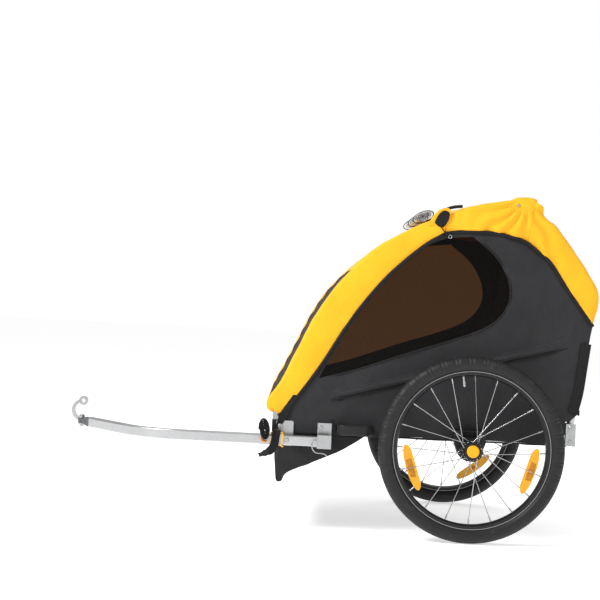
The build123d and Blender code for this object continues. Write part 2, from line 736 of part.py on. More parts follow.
def build_side_walls():
    """A fabric panel either side with its window opening, and the tinted window film behind it."""
    for name, side in SIDES.items():
        outer = PANEL_Y + PANEL
        with BuildPart() as panel:
            with BuildSketch(side_plane(outer if side > 0 else -PANEL_Y)):
                with BuildLine():
                    Line((-492, 254), (-492, 330))
                    Line((-492, 330), (-478, 335))
                    Spline((-478, 335), *SEAM_FRONT[2:-1], *SEAM_TOP[1:-1], *SEAM_REAR[1:-1], PANEL_CORNER)
                    Polyline(
                        PANEL_CORNER, (303, 500), (290, 385), (287, 345), (252, 324), (252, 254),
                        (-492, 254),
                    )
                make_face()
                add(window_face(), mode=Mode.SUBTRACT)
            extrude(amount=PANEL)
            if side < 0:
                with Locations(along_y(*RECEIVER_SCREW)):
                    Hole(PIVOT_PIN + 0.5, THROUGH)
        save(f"{name}_side_panel", panel.part)

        film_in, film = 277.7, 0.8
        with BuildPart() as window:
            with BuildSketch(side_plane(film_in + film if side > 0 else -film_in)):
                add(window_face(1.04))
            extrude(amount=film)
        save(f"{name}_window", window.part)


def cover_strip(outline, seam, band_in=BAND_Y):
    """A cover: a sheet along the side outline across the width, with a band down each side to the seam."""
    width = band_in + FABRIC
    with BuildPart() as cover:
        for y_high, y_low in ((width, band_in), (-band_in, -width)):
            with BuildSketch(side_plane(y_high)):
                with BuildLine():
                    Spline(*outline)
                    Spline(*reversed(seam))
                    Line(outline[0], seam[0])
                    if outline[-1] != seam[-1]:
                        Line(outline[-1], seam[-1])
                make_face()
            extrude(amount=y_high - y_low)
        with BuildSketch(side_plane(width)):
            with BuildLine():
                Spline(*outline)
            trace(line_width=FABRIC)
        extrude(amount=2 * width)
    return cover.part


def build_covers():
    """The yellow covers: the front one with its mesh screen, the top one, and the rear one."""
    screen_y, frame_low, frame_high = 214.0, 350.0, 712.0
    with BuildPart() as front:
        add(cover_strip(COVER_FRONT, SEAM_FRONT))
        with Locations((-430, 0, (frame_low + frame_high) / 2)):
            Box(300, 2 * screen_y, frame_high - frame_low, mode=Mode.SUBTRACT)
    save("front_cover", front.part)

    with BuildPart() as screen:
        with BuildSketch(side_plane(screen_y + 8)):
            with BuildLine():
                Spline(*[(x + 3.5, z - 2.2) for x, z in COVER_FRONT])
            trace(line_width=0.8)
            with Locations((-400, frame_low - 10 - 200)):
                Rectangle(500, 400, mode=Mode.SUBTRACT)
            with Locations((-400, frame_high + 10 + 200)):
                Rectangle(900, 400, mode=Mode.SUBTRACT)
        extrude(amount=2 * (screen_y + 8))
    save("mesh_screen", screen.part)

    save("top_cover", trimmed(cover_strip(COVER_TOP, SEAM_TOP), -93.0, 159.0))
    save("rear_cover", trimmed(cover_strip(COVER_REAR, SEAM_REAR), 160.5, 400.0))


def trimmed(part, x_low, x_high):
    """The part between two X planes."""
    with BuildPart() as piece:
        add(part)
        with Locations(((x_low + x_high) / 2, 0, 700)):
            Box(x_high - x_low, 700, 600, mode=Mode.INTERSECT)
    return piece.part


def build_rear_panel():
    """The lower rear wall of the luggage space, and the reflector on the rear cross tube below it."""
    with BuildPart() as wall:
        with BuildSketch(side_plane(276)):
            with BuildLine():
                Polyline((312, 584), (301, 500), (290, 385), (288, 345), (290, 345), (292, 385), (303, 500),
                         (314, 584), close=True)
            make_face()
        extrude(amount=552)
    save("rear_panel", wall.part)

    with BuildPart() as reflector:
        with BuildSketch(Plane.YZ.offset(REAR_X + RAIL / 2 + RUNNING)):
            with Locations((0, RAIL_Z)):
                RectangleRounded(90, 30, 6)
        extrude(amount=8)
        fillet(reflector.faces().sort_by(Axis.X)[-1].edges(), 1.5)
    save("rear_reflector", reflector.part)


def build_seat():
    """The bench cushion, the back cushion, and each child's harness with its buckle and button."""
    with BuildPart() as bench:
        with Locations((-65, 0, (289 + SEAT_TOP) / 2)):
            Box(280, 440, SEAT_TOP - 289)
        fillet(bench.edges().filter_by(Axis.Y), 12)
    save("seat_bottom", bench.part)

    with BuildPart() as back:
        with BuildSketch(side_plane(222)):
            with BuildLine():
                Polyline((80, 330), (132, 800), (154, 798), (102, 328), close=True)
            make_face()
        extrude(amount=444)
        fillet(back.edges().filter_by(Axis.Y), 9)
    save("seat_back", back.part)

    straps = []
    for side in SIDES.values():
        for offset_y in (-62, 62):
            with BuildPart() as strap:
                with BuildSketch(side_plane(side * BUCKLE_Y + offset_y + 12)):
                    with BuildLine():
                        Polyline((110, 700), (71, 340), (60, SEAT_TOP + 1), (-60, SEAT_TOP + 1),
                                 (-60, SEAT_TOP + 3), (59, SEAT_TOP + 3), (69, 341), (108, 700), close=True)
                    make_face()
                extrude(amount=24)
            straps.append(strap.part)
    save("harness_straps", *straps)

    buckles = []
    for name, side in SIDES.items():
        top = SEAT_TOP + 13
        with BuildPart() as buckle:
            with BuildSketch(Plane.XY.offset(SEAT_TOP + 1)):
                with Locations((BUCKLE_X, side * BUCKLE_Y)):
                    RectangleRounded(58, 46, 8)
            extrude(amount=top - SEAT_TOP - 1)
            fillet(buckle.faces().sort_by(Axis.Z)[-1].edges(), 2.5)
            with BuildSketch(Plane.XY.offset(top - 6)):
                with Locations((BUCKLE_X - 12, side * BUCKLE_Y)):
                    RectangleRounded(22.6, 22.6, 3)
            extrude(amount=10, mode=Mode.SUBTRACT)
        buckles.append(buckle.part)
        with BuildPart() as button:
            with BuildSketch(Plane.XY.offset(top - 2.5)):
                with Locations((BUCKLE_X - 12, side * BUCKLE_Y)):
                    RectangleRounded(22, 22, 3)
            extrude(amount=3)
        save(f"{name}_buckle_button", button.part)
    save("harness_buckles", *buckles)


def build_trim():
    """The rolled rain shield on the front cover, and the tabs and cords that hold the covers down."""
    with BuildPart() as roll:
        with BuildSketch(side_plane(205)):
            with Locations(Location((-146, 851), 24)):
                Ellipse(32, 13)
        extrude(amount=410)
    save("rolled_rain_shield", roll.part)

    tabs = []
    cords = []
    for side in SIDES.values():
        with BuildPart() as tab:
            with BuildSketch(side_plane(289.5 if side > 0 else -285.5)):
                with Locations(Location((-100, 846), 50)):
                    SlotOverall(44, 24)
            extrude(amount=4)
        tabs.append(tab.part)
        with BuildPart() as cord:
            with BuildSketch(Plane(origin=(-92, side * 287.5, 826), z_dir=(12, 0, -26))):
                Circle(1.5)
            extrude(amount=28)
            with Locations((-79, side * 287.5, 799)):
                Sphere(4)
        cords.append(cord.part)
    save("cover_tabs", *tabs, *cords)

    with BuildPart() as strap:
        with BuildSketch(side_plane(TOW_Y - 15.5)):
            with Locations(Location((-540, 273), -75)):
                SlotOverall(60, 30)
        extrude(amount=24)
    save("safety_strap", strap.part)


build_base_frame()
build_hinge_brackets()
build_frame_bolts()
build_hoops()
build_axle_brackets()
build_wheel_guards()
build_tow_mounts()
build_tow_bar()
build_tail_pin()
build_hitch()
for wheel_name, wheel_side in SIDES.items():
    build_wheel(wheel_name, wheel_side)
build_floor_tub()
build_side_walls()
build_covers()
build_rear_panel()
build_seat()
build_trim()
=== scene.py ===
"""Looks of the child bicycle trailer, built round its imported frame.

Metres, in the frame's own axes: +X to the rear, +Y to the trailer's right, +Z up. Outlines are drawn in
millimetres from a point on the ground midway between the wheels, and at() puts them in the frame.
"""

import json
import math

import bmesh
import bpy
import numpy as np
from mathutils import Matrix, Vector, noise


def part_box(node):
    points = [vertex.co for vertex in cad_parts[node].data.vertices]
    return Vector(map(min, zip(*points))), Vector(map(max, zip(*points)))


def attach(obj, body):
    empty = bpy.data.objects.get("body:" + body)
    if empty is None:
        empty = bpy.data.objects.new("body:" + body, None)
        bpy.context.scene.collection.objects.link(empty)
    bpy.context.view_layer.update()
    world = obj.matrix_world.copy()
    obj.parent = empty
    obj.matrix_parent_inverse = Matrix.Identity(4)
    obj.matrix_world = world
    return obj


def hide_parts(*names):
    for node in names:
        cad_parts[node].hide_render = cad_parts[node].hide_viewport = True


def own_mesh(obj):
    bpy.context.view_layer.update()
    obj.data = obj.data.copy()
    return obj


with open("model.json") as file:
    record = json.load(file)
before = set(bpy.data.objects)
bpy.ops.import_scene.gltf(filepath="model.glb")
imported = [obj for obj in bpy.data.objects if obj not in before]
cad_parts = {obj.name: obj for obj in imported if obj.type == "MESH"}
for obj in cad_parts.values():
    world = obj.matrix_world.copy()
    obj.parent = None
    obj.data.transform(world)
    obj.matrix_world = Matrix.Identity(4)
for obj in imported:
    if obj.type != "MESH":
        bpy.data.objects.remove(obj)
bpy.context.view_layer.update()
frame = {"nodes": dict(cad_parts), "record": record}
NODES = frame["nodes"]
MM = 0.001
SIDES = {"left": -1, "right": 1}

tyre_low, tyre_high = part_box("left_tyre")
AXLE_X = (tyre_low.x + tyre_high.x) / 2
AXLE_Z = (tyre_low.z + tyre_high.z) / 2
WHEEL_Y = -(tyre_low.y + tyre_high.y) / 2
TYRE_RADIUS = (tyre_high.z - tyre_low.z) / 2
TYRE_SECTION = (tyre_high.y - tyre_low.y) / 2
COVER_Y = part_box("top_cover")[1].y / MM  # outside of the covers' side bands
TOW_Y = (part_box("strap_clip")[0].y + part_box("strap_clip")[1].y) / 2 / MM
BAND_COLUMNS = 11  # columns of points in a cover's side band
WINDOW_HEM = slice(3, 88)  # the hemmed part of the window's outline, in points
RIM_HIGHLIGHT_RADIUS, RIM_HIGHLIGHT_HALF = 0.2045, 0.0006  # the rim's painted highlight line and half its width, in metres
WAVE_PERIOD = 0.314  # metres between the bands of a wave texture at scale 1
REFLECTOR_START = {"left": -17, "right": -53}  # degrees; the right wheel is turned on by two spokes
REFLECTOR_STEP = 144  # degrees between a wheel's two reflectors
REFLECTOR_RADIUS = 163  # millimetres from the axle

# side outlines, (x, z) in millimetres
FRONT_LINE = [(-523, 308), (-537, 318), (-540, 336), (-532, 358), (-508, 407), (-470, 488), (-427, 578),
              (-370, 662), (-283, 746), (-181, 813), (-94, 854)]
TOP_LINE = [(-94, 854), (-45, 873), (13, 886), (69, 898), (100, 909), (132, 912), (151, 905)]
REAR_LINE = [(151, 905), (163, 890), (172, 871), (185, 852), (201, 842), (242, 789), (270, 757), (297, 712),
             (317, 683), (325, 660), (325, 633), (320, 603), (315, 582)]
FRONT_SEAM = [(-507, 304), (-486, 323), (-462, 352), (-395, 450), (-325, 569), (-243, 679), (-149, 768),
              (-90, 808)]
TOP_SEAM = [(-90, 808), (-40, 816), (34, 816), (72, 811), (109, 803), (132, 793)]
REAR_SEAM = [(132, 793), (167, 766), (195, 742), (246, 670), (298, 602), (314, 582)]
WINDOW_FREE = [(-14, 800), (45, 752), (78, 702), (90, 655), (80, 612), (46, 573), (-25, 537), (-172, 485),
               (-300, 437), (-404, 405)]
WINDOW_SEAM = [(-388, 438), (-319, 562), (-237, 673), (-145, 762), (-84, 794)]  # close under the covers


def at(x, y, z):
    """A point given in millimetres from the ground between the wheels, in the frame."""
    return np.array([AXLE_X + x * MM, y * MM, z * MM])


def smooth(points, count):
    """Evenly spaced points on a smooth curve through the given ones."""
    p = np.array(points, float)
    p = np.vstack([2 * p[0] - p[1], p, 2 * p[-1] - p[-2]])
    t = np.linspace(0, 1, 16, endpoint=False)[:, None]
    runs = []
    for a, b, c, d in zip(p, p[1:], p[2:], p[3:]):
        runs.append(b + 0.5 * t * (c - a + t * (2 * a - 5 * b + 4 * c - d + t * (3 * (b - c) + d - a))))
    return even(np.vstack(runs + [p[-2:-1]]), count)


def even(points, count):
    """The same line resampled at even steps."""
    steps = np.linalg.norm(np.diff(points, axis=0), axis=1)
    arc = np.concatenate([[0], np.cumsum(steps)])
    where = np.linspace(0, arc[-1], count)
    return np.column_stack([np.interp(where, arc, column) for column in points.T])


def normals(tangent):
    """Unit normals of a side-view line, from its tangents."""
    normal = np.column_stack([-tangent[:, 1], tangent[:, 0]])
    return normal / np.linalg.norm(normal, axis=1)[:, None]


def ease(value, start, end):
    """0 before start, 1 after end, smooth in between."""
    t = np.clip((value - start) / (end - start), 0, 1)
    return t * t * (3 - 2 * t)


# ---------------------------------------------------------------- mesh helpers
def add_mesh(name, points, faces, material, body, smooth_shade=True):
    """A mesh piece that rides on a body."""
    mesh = bpy.data.meshes.new(name)
    mesh.from_pydata([tuple(p) for p in points], [], faces)
    bm = bmesh.new()
    bm.from_mesh(mesh)
    bmesh.ops.recalc_face_normals(bm, faces=bm.faces)
    bm.to_mesh(mesh)
    bm.free()
    mesh.polygons.foreach_set("use_smooth", [smooth_shade] * len(mesh.polygons))
    piece = bpy.data.objects.new(name, mesh)
    bpy.context.scene.collection.objects.link(piece)
    mesh.materials.append(material)
    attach(piece, body)
    return piece


def grid_faces(rows, columns, keep=None, wrap=False):
    """Quads of a grid of points. keep(i, j) picks them, and wrap joins the last row to the first."""
    faces = []
    for i in range(rows - (0 if wrap else 1)):
        for j in range(columns - 1):
            if keep is None or keep(i, j):
                k = (i + 1) % rows
                faces.append((i * columns + j, i * columns + j + 1, k * columns + j + 1, k * columns + j))
    return faces


def tube_faces(first, rings, count, closed=False):
    """Faces of a tube made of rings of points, with its ends capped unless the last ring joins the first."""
    faces = []
    for i in range(rings if closed else rings - 1):
        near, far = first + i * count, first + (i + 1) % rings * count
        for j in range(count):
            k = (j + 1) % count
            faces.append((near + j, near + k, far + k, far + j))
    if not closed:
        faces += [tuple(range(k, k + count)) for k in (first, first + (rings - 1) * count)]
    return faces


def stand_for(node):
    """Hides the CAD node that a piece takes the place of."""
    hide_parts(node)


def flatten(piece):
    """Gives the piece a mesh of its own."""
    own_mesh(piece)


def thicken(piece, thickness, offset=0.0):
    """Gives a sheet its thickness, in metres."""
    modifier = piece.modifiers.new("thickness", "SOLIDIFY")
    modifier.thickness = thickness
    modifier.offset = offset
    modifier.use_even_offset = False
    return piece


def displace(piece, height):
    """Moves each vertex along its normal by height(point), in metres."""
    mesh = piece.data
    moves = [(v.co.copy(), v.normal.copy(), v) for v in mesh.vertices]
    for point, normal, vertex in moves:
        vertex.co = point + normal * height(point)
    mesh.update()


def sweep(name, path, ring, material, body, across=(0, 1, 0), closed=False):
    """A ring of (across, out) offsets in metres, carried along a path."""
    path = np.array(path, float)
    tangent = np.gradient(path, axis=0)
    if closed:
        tangent = np.roll(path, -1, axis=0) - np.roll(path, 1, axis=0)
    tangent /= np.linalg.norm(tangent, axis=1)[:, None]
    wide = np.array(across, float)
    points = []
    for p, t in zip(path, tangent):
        side = wide - t * (wide @ t)
        side /= np.linalg.norm(side)
        out = np.cross(t, side)
        points += [p + a * side + b * out for a, b in ring]
    return add_mesh(name, points, tube_faces(0, len(path), len(ring), closed), material, body)


def round_ring(radius, count=10, flat=1.0):
    """A round cross-section in metres, flattened outwards by flat."""
    angles = np.linspace(0, 2 * math.pi, count, endpoint=False)
    return [(radius * math.cos(a), radius * flat * math.sin(a)) for a in angles]


def strap_ring(width, thick):
    """A webbing strap's cross-section in metres, with rounded edges and ribs along both faces."""
    half, edge = width / 2, thick / 2
    ribs = np.linspace(-half + edge, half - edge, 9)
    top = [(x, edge * (1.0 if i % 2 else 0.75)) for i, x in enumerate(ribs)]
    bottom = [(x, -b) for x, b in reversed(top)]
    return [(-half, 0), *top, (half, 0), *bottom]


def side_sheet(name, outline, hole, y, side, step, material, body):
    """A sheet in the side view at |Y| = y, cut to its outline and hole, with a grid of that step."""
    bm = bmesh.new()
    for loop in (outline, hole):
        if loop is not None:
            ring = [bm.verts.new((x, 0, z)) for x, z in loop]
            for a, b in zip(ring, ring[1:] + ring[:1]):
                bm.edges.new((a, b))
    bmesh.ops.triangle_fill(bm, use_beauty=False, use_dissolve=False, edges=bm.edges)
    xs, zs = [p[0] for p in outline], [p[1] for p in outline]
    for low_edge, high_edge, normal in ((min(xs), max(xs), (1, 0, 0)), (min(zs), max(zs), (0, 0, 1))):
        for cut in np.arange(low_edge + step, high_edge, step):
            everything = bm.verts[:] + bm.edges[:] + bm.faces[:]
            place = tuple(cut * n for n in normal)
            bmesh.ops.bisect_plane(bm, geom=everything, plane_co=place, plane_no=normal)
    bm.verts.index_update()
    points = [at(v.co.x, side * y, v.co.z) for v in bm.verts]
    faces = [tuple(v.index for v in f.verts) for f in bm.faces]
    bm.free()
    piece = add_mesh(name, points, faces, material, body)
    if sum(p.normal.y for p in piece.data.polygons) * side < 0:
        piece.data.flip_normals()
    return piece


def stitches(name, path, y_sides, material, body, stand=None, pitch=4.0, length=2.6, thick=0.45):
    """A row of thread stitches along a side-view line in millimetres, on the walls or stand mm off y."""
    points, faces = [], []
    reach = np.linalg.norm(np.diff(path, axis=0), axis=1).sum()
    line = even(np.array(path, float), max(3, int(reach / pitch)))
    for y in y_sides:
        for a, b in zip(line[:-1], line[1:]):
            middle, along = (a + b) / 2, (b - a) / np.linalg.norm(b - a)
            normal = np.array([-along[1], along[0]])
            for s, w in ((-0.5, 0.4), (0, 1.0), (0.5, 0.4)):
                c = middle + along * length * s
                for dn, dy in ((-1, 0), (0, 1), (1, 0), (0, -1)):
                    q = c + normal * dn * thick * w
                    rise = wall_height(at(q[0], y, q[1])) / MM if stand is None else stand
                    points.append(at(q[0], y + math.copysign(rise, y) + dy * thick * w, q[1]))
            faces += tube_faces(len(points) - 12, 3, 4)
    return add_mesh(name, points, faces, material, body, smooth_shade=False)


# ---------------------------------------------------------------- materials
class Shader:
    """A material under construction: a principled shader and helpers that add texture nodes to it."""

    def __init__(self, name, colour, rough=0.5, metal=0.0, **inputs):
        self.material = bpy.data.materials.new(name)
        self.material.use_nodes = True
        self.tree = self.material.node_tree
        self.bsdf = self.tree.nodes["Principled BSDF"]
        self.coords = self.tree.nodes.new("ShaderNodeTexCoord").outputs["Object"]
        self.colour = colour
        self.bsdf.inputs["Base Color"].default_value = (*colour, 1)
        self.bsdf.inputs["Roughness"].default_value = rough
        self.bsdf.inputs["Metallic"].default_value = metal
        for key, value in inputs.items():
            self.bsdf.inputs[key.replace("_", " ")].default_value = value

    def link(self, output, target):
        self.tree.links.new(output, target)

    def feed(self, value, target):
        """Sets a socket to a number, or links a texture to it."""
        if isinstance(value, (int, float)):
            target.default_value = value
        else:
            self.link(value, target)

    def node(self, kind, **settings):
        made = self.tree.nodes.new(kind)
        for key, value in settings.items():
            if hasattr(made, key) and key not in made.inputs:
                setattr(made, key, value)
            else:
                made.inputs[key].default_value = value
        return made

    def noise(self, scale, detail=3.0, stretch=None):
        texture = self.node("ShaderNodeTexNoise", Scale=scale, Detail=detail)
        if stretch is None:
            self.link(self.coords, texture.inputs["Vector"])
        else:
            mapping = self.node("ShaderNodeMapping", Scale=stretch)
            self.link(self.coords, mapping.inputs["Vector"])
            self.link(mapping.outputs["Vector"], texture.inputs["Vector"])
        return texture.outputs["Fac"]

    def weave(self, pitch):
        """Threads crossing at that pitch in metres, on any face."""
        total = None
        for axis in "XYZ":
            wave = self.node("ShaderNodeTexWave", bands_direction=axis, Scale=WAVE_PERIOD / pitch,
                             Distortion=0.4)
            self.link(self.coords, wave.inputs["Vector"])
            total = wave.outputs["Fac"] if total is None else self.maths("ADD", total, wave.outputs["Fac"])
        return self.maths("MULTIPLY", total, 0.333)

    def maths(self, operation, a, b):
        made = self.node("ShaderNodeMath", operation=operation)
        for socket, value in zip(made.inputs, (a, b)):
            self.feed(value, socket)
        return made.outputs["Value"]

    def between(self, factor, low, high):
        """factor, with its low..high range spread over 0..1."""
        made = self.node("ShaderNodeMapRange", **{"From Min": low, "From Max": high})
        self.link(factor, made.inputs["Value"])
        return made.outputs["Result"]

    def tint(self, factor, other, amount=1.0):
        """Mixes the base colour towards another by a factor."""
        mix = self.node("ShaderNodeMix", data_type="RGBA")
        base = self.bsdf.inputs["Base Color"]
        if base.is_linked:
            self.link(base.links[0].from_socket, mix.inputs[6])
        else:
            mix.inputs[6].default_value = base.default_value
        mix.inputs[7].default_value = (*other, 1)
        self.link(self.maths("MULTIPLY", factor, amount), mix.inputs[0])
        self.link(mix.outputs[2], base)
        return self

    def bump(self, height, distance, strength=1.0):
        made = self.node("ShaderNodeBump", Distance=distance, Strength=strength)
        normal = self.bsdf.inputs["Normal"]
        if normal.is_linked:
            self.link(normal.links[0].from_socket, made.inputs["Normal"])
        self.link(height, made.inputs["Height"])
        self.link(made.outputs["Normal"], normal)
        return self

    def rough(self, factor, low, high):
        made = self.node("ShaderNodeMapRange", **{"To Min": low, "To Max": high})
        self.link(factor, made.inputs["Value"])
        self.link(made.outputs["Result"], self.bsdf.inputs["Roughness"])
        return self

    def see_through(self, colour, amount):
        """Mixes in a clear shader of that colour. amount is a number or a texture."""
        clear = self.node("ShaderNodeBsdfTransparent")
        clear.inputs["Color"].default_value = (*colour, 1)
        mix = self.node("ShaderNodeMixShader")
        self.link(self.bsdf.outputs[0], mix.inputs[1])
        self.link(clear.outputs[0], mix.inputs[2])
        self.feed(amount, mix.inputs[0])
        self.link(mix.outputs[0], self.tree.nodes["Material Output"].inputs["Surface"])
        return self


def fabric(name, colour, fold, pitch=0.0011, rough=0.72, sheen=0.06):
    """Coated woven polyester: threads, soft creases, and a darker tone where dirt and folds sit."""
    made = Shader(name, colour, rough, Sheen_Weight=sheen, Sheen_Roughness=0.5, Specular_IOR_Level=0.25)
    made.tint(made.between(made.noise(7, 4), 0.42, 0.75), fold, 0.5)
    made.tint(made.between(made.noise(160, 2), 0.5, 0.8), fold, 0.25)
    made.bump(made.noise(32, 5), 0.004, 0.5)
    made.bump(made.weave(pitch), 0.0003, 0.5)
    return made.rough(made.noise(30, 3), rough - 0.1, rough + 0.12).material


def webbing(name, colour):
    """Heavy woven strap, with a coarse rib."""
    made = Shader(name, colour, 0.7, Sheen_Weight=0.05, Specular_IOR_Level=0.25)
    made.tint(made.between(made.noise(300, 2), 0.45, 0.7), tuple(c * 1.9 for c in colour), 0.6)
    made.bump(made.weave(0.0018), 0.0006, 0.9)
    return made.material


def metal(name, colour, rough, grain=(4, 220, 220), scratch=0.25):
    """Drawn or plated metal, with a directional grain, soft stains and fine wear."""
    made = Shader(name, colour, rough, metal=1.0)
    made.tint(made.between(made.noise(9, 4), 0.5, 0.8), tuple(c * 0.72 for c in colour), 0.5)
    made.tint(made.between(made.noise(90, 3), 0.6, 0.72), tuple(c * 0.6 for c in colour), scratch)
    made.bump(made.noise(1, 4, grain), 0.0002, 0.4)
    return made.rough(made.noise(24, 4), rough - 0.08, rough + 0.14).material


def moulded(name, colour, rough, wear=(0.25, 0.25, 0.25), grain=900):
    """Moulded plastic or rubber: a fine texture, cloudy sheen and pale scuffs."""
    made = Shader(name, colour, rough, Specular_IOR_Level=0.3)
    made.tint(made.between(made.noise(55, 6), 0.62, 0.78), wear, 0.25)
    made.tint(made.between(made.noise(8, 3), 0.4, 0.8), tuple(c * 0.6 for c in colour), 0.4)
    made.bump(made.noise(grain, 2), 0.00015, 0.5)
    return made.rough(made.noise(20, 4), rough - 0.1, rough + 0.15).material


def lens(name, colour, deep):
    """A prismatic reflector: small facets under a glossy face, and a faint painted glow in the lens's own
    colour.
    """
    # painted glow: the lens gives off faint light of its own colour
    made = Shader(name, colour, 0.3, Coat_Weight=0.25, Emission_Color=(*colour, 1), Emission_Strength=0.05,
                  Specular_IOR_Level=0.3)
    cells = made.node("ShaderNodeTexVoronoi", Scale=330)
    made.link(made.coords, cells.inputs["Vector"])
    made.tint(made.between(cells.outputs["Distance"], 0.1, 0.7), deep, 0.7)
    return made.bump(cells.outputs["Distance"], 0.0006, 0.8).material


def tinted_film():
    """Brown tinted vinyl: most light is lost in it, and its face is glossy and slightly wavy."""
    made = Shader("tinted_film", (0.010, 0.008, 0.006), 0.18)
    made.bump(made.noise(5, 2), 0.004, 0.25)
    made.rough(made.noise(12, 3), 0.12, 0.26)
    return made.see_through((0.27, 0.175, 0.098), 0.8).material


def clear_film():
    """Clear vinyl, milky where it is creased."""
    made = Shader("clear_film", (0.80, 0.83, 0.86), 0.12, Coat_Weight=0.5)
    made.bump(made.noise(45, 4), 0.004, 0.6)
    haze = made.between(made.noise(60, 5), 0.35, 0.65)
    return made.see_through((0.93, 0.95, 0.97), made.between(haze, 1.2, -0.2)).material


def open_mesh():
    """Knitted mesh: dark threads round small open holes."""
    made = Shader("open_mesh", (0.022, 0.022, 0.024), 0.7)
    made.bump(made.weave(0.0016), 0.0004, 0.8)
    holes = made.between(made.weave(0.0016), 0.35, 0.25)
    return made.see_through((0.9, 0.9, 0.9), made.maths("MULTIPLY", holes, 0.55)).material


def rim_paint():
    """Black anodised rim with a painted highlight: a pale line just inside the tyre where its edge catches
    the light.
    """
    made = Shader("rim_paint", (0.012, 0.012, 0.013), 0.32, metal=0.35)
    split = made.node("ShaderNodeSeparateXYZ")
    made.link(made.coords, split.inputs[0])
    dx = made.maths("SUBTRACT", split.outputs["X"], AXLE_X)
    dz = made.maths("SUBTRACT", split.outputs["Z"], AXLE_Z)
    square = made.maths("ADD", made.maths("POWER", dx, 2.0), made.maths("POWER", dz, 2.0))
    offset = made.maths("ABSOLUTE", made.maths("SUBTRACT", made.maths("SQRT", square, 0), RIM_HIGHLIGHT_RADIUS), 0)
    line = made.maths("LESS_THAN", offset, RIM_HIGHLIGHT_HALF)
    # painted highlight: a pale grey line round the rim's edge
    made.tint(line, (0.62, 0.63, 0.65), 0.55)
    made.bump(made.noise(260, 3), 0.0002, 0.4)
    return made.rough(made.noise(35, 4), 0.22, 0.45).material


YELLOW, YELLOW_FOLD = (1.0, 0.475, 0.013), (0.84, 0.36, 0.006)
CHARCOAL, CHARCOAL_FOLD = (0.024, 0.024, 0.026), (0.009, 0.009, 0.010)
MATERIALS = {
    "aluminium_tube": metal("aluminium_tube", (0.52, 0.525, 0.53), 0.34),
    "black_tube": moulded("black_tube", (0.02, 0.02, 0.022), 0.35),
    "steel": metal("steel", (0.45, 0.455, 0.46), 0.3, grain=(160, 160, 160), scratch=0.4),
    "chrome": metal("chrome", (0.42, 0.425, 0.43), 0.2, grain=(60, 60, 60)),
    "black_plastic": moulded("black_plastic", (0.014, 0.014, 0.015), 0.45, (0.12, 0.12, 0.12)),
    "grey_rubber": moulded("grey_rubber", (0.10, 0.105, 0.11), 0.6, (0.3, 0.3, 0.3)),
    "yellow_plastic": moulded("yellow_plastic", (0.98, 0.42, 0.005), 0.3, (0.9, 0.5, 0.1), grain=500),
    "amber_lens": lens("amber_lens", (0.95, 0.45, 0.008), (0.60, 0.24, 0.002)),
    "amber_prism": lens("amber_prism", (0.60, 0.24, 0.003), (0.34, 0.11, 0.001)),
    "red_lens": lens("red_lens", (0.75, 0.02, 0.02), (0.3, 0.0, 0.0)),
    "tyre": moulded("tyre", (0.015, 0.015, 0.016), 0.5, (0.10, 0.10, 0.105), grain=700),
    "rim": rim_paint(),
    "yellow_fabric": fabric("yellow_fabric", YELLOW, YELLOW_FOLD, sheen=0.1),
    "charcoal_fabric": fabric("charcoal_fabric", CHARCOAL, CHARCOAL_FOLD),
    "mesh": open_mesh(),
    "webbing": webbing("webbing", (0.007, 0.007, 0.008)),
    "seat_fabric": fabric("seat_fabric", (0.055, 0.056, 0.060), (0.03, 0.03, 0.033), 0.0014, 0.85),
    "tinted_film": tinted_film(),
    "clear_film": clear_film(),
    "piping": fabric("piping", (0.008, 0.008, 0.009), (0.004, 0.004, 0.004), 0.0009, 0.6, sheen=0.02),
    "thread": webbing("thread", (0.07, 0.07, 0.073)),
    "gold_thread": webbing("gold_thread", (0.62, 0.27, 0.006)),
    "yellow_cord": webbing("yellow_cord", (0.95, 0.50, 0.02)),
    "orange_tip": moulded("orange_tip", (0.85, 0.30, 0.02), 0.4),
}


def finish_frame_nodes():
    """Gives every node that is carried over its procedural material, by its slot in the record."""
    for entry in frame["record"]["subparts"]:
        node = NODES[entry["node"]]
        node.data.materials.clear()
        node.data.materials.append(MATERIALS[entry["material_slot"]])


# ---------------------------------------------------------------- covers
def crease_lines(point, scale):
    """Thin creases that wander and fade out, as 0 to 1 at a point of the frame."""
    p = Vector(point) * scale
    line = math.exp(-(noise.noise(p) / 0.07) ** 2)
    return line * ease(noise.noise(p * 0.45 + Vector((7, 3, 5))), -0.05, 0.3)


def creases(point):
    """Soft creases of taut fabric, as a height in metres at a point of the frame."""
    p = Vector(point)
    return 0.0015 * noise.noise(p * 11) + 0.0010 * noise.noise(p * 30) + 0.0014 * crease_lines(p, 8)


def rear_folds(point):
    """Creases, and the folds that fan out from the hoop's end under the top rear corner."""
    x, z = (point[0] - AXLE_X) / MM - 118, point[2] / MM - 903
    reach, angle = math.hypot(x, z), math.atan2(z, x)
    wander = 1.3 * noise.noise(Vector(point) * 14)
    fan = math.sin(14 * angle + wander * 2.2) * math.exp(-reach / 150) * ease(reach, 12, 50)
    ripple = math.sin(reach / 19 + wander * 3) * ease(reach, 120, 190) * ease(330 - reach, 0, 120)
    return creases(point) + 0.0058 * fan + 0.0022 * ripple


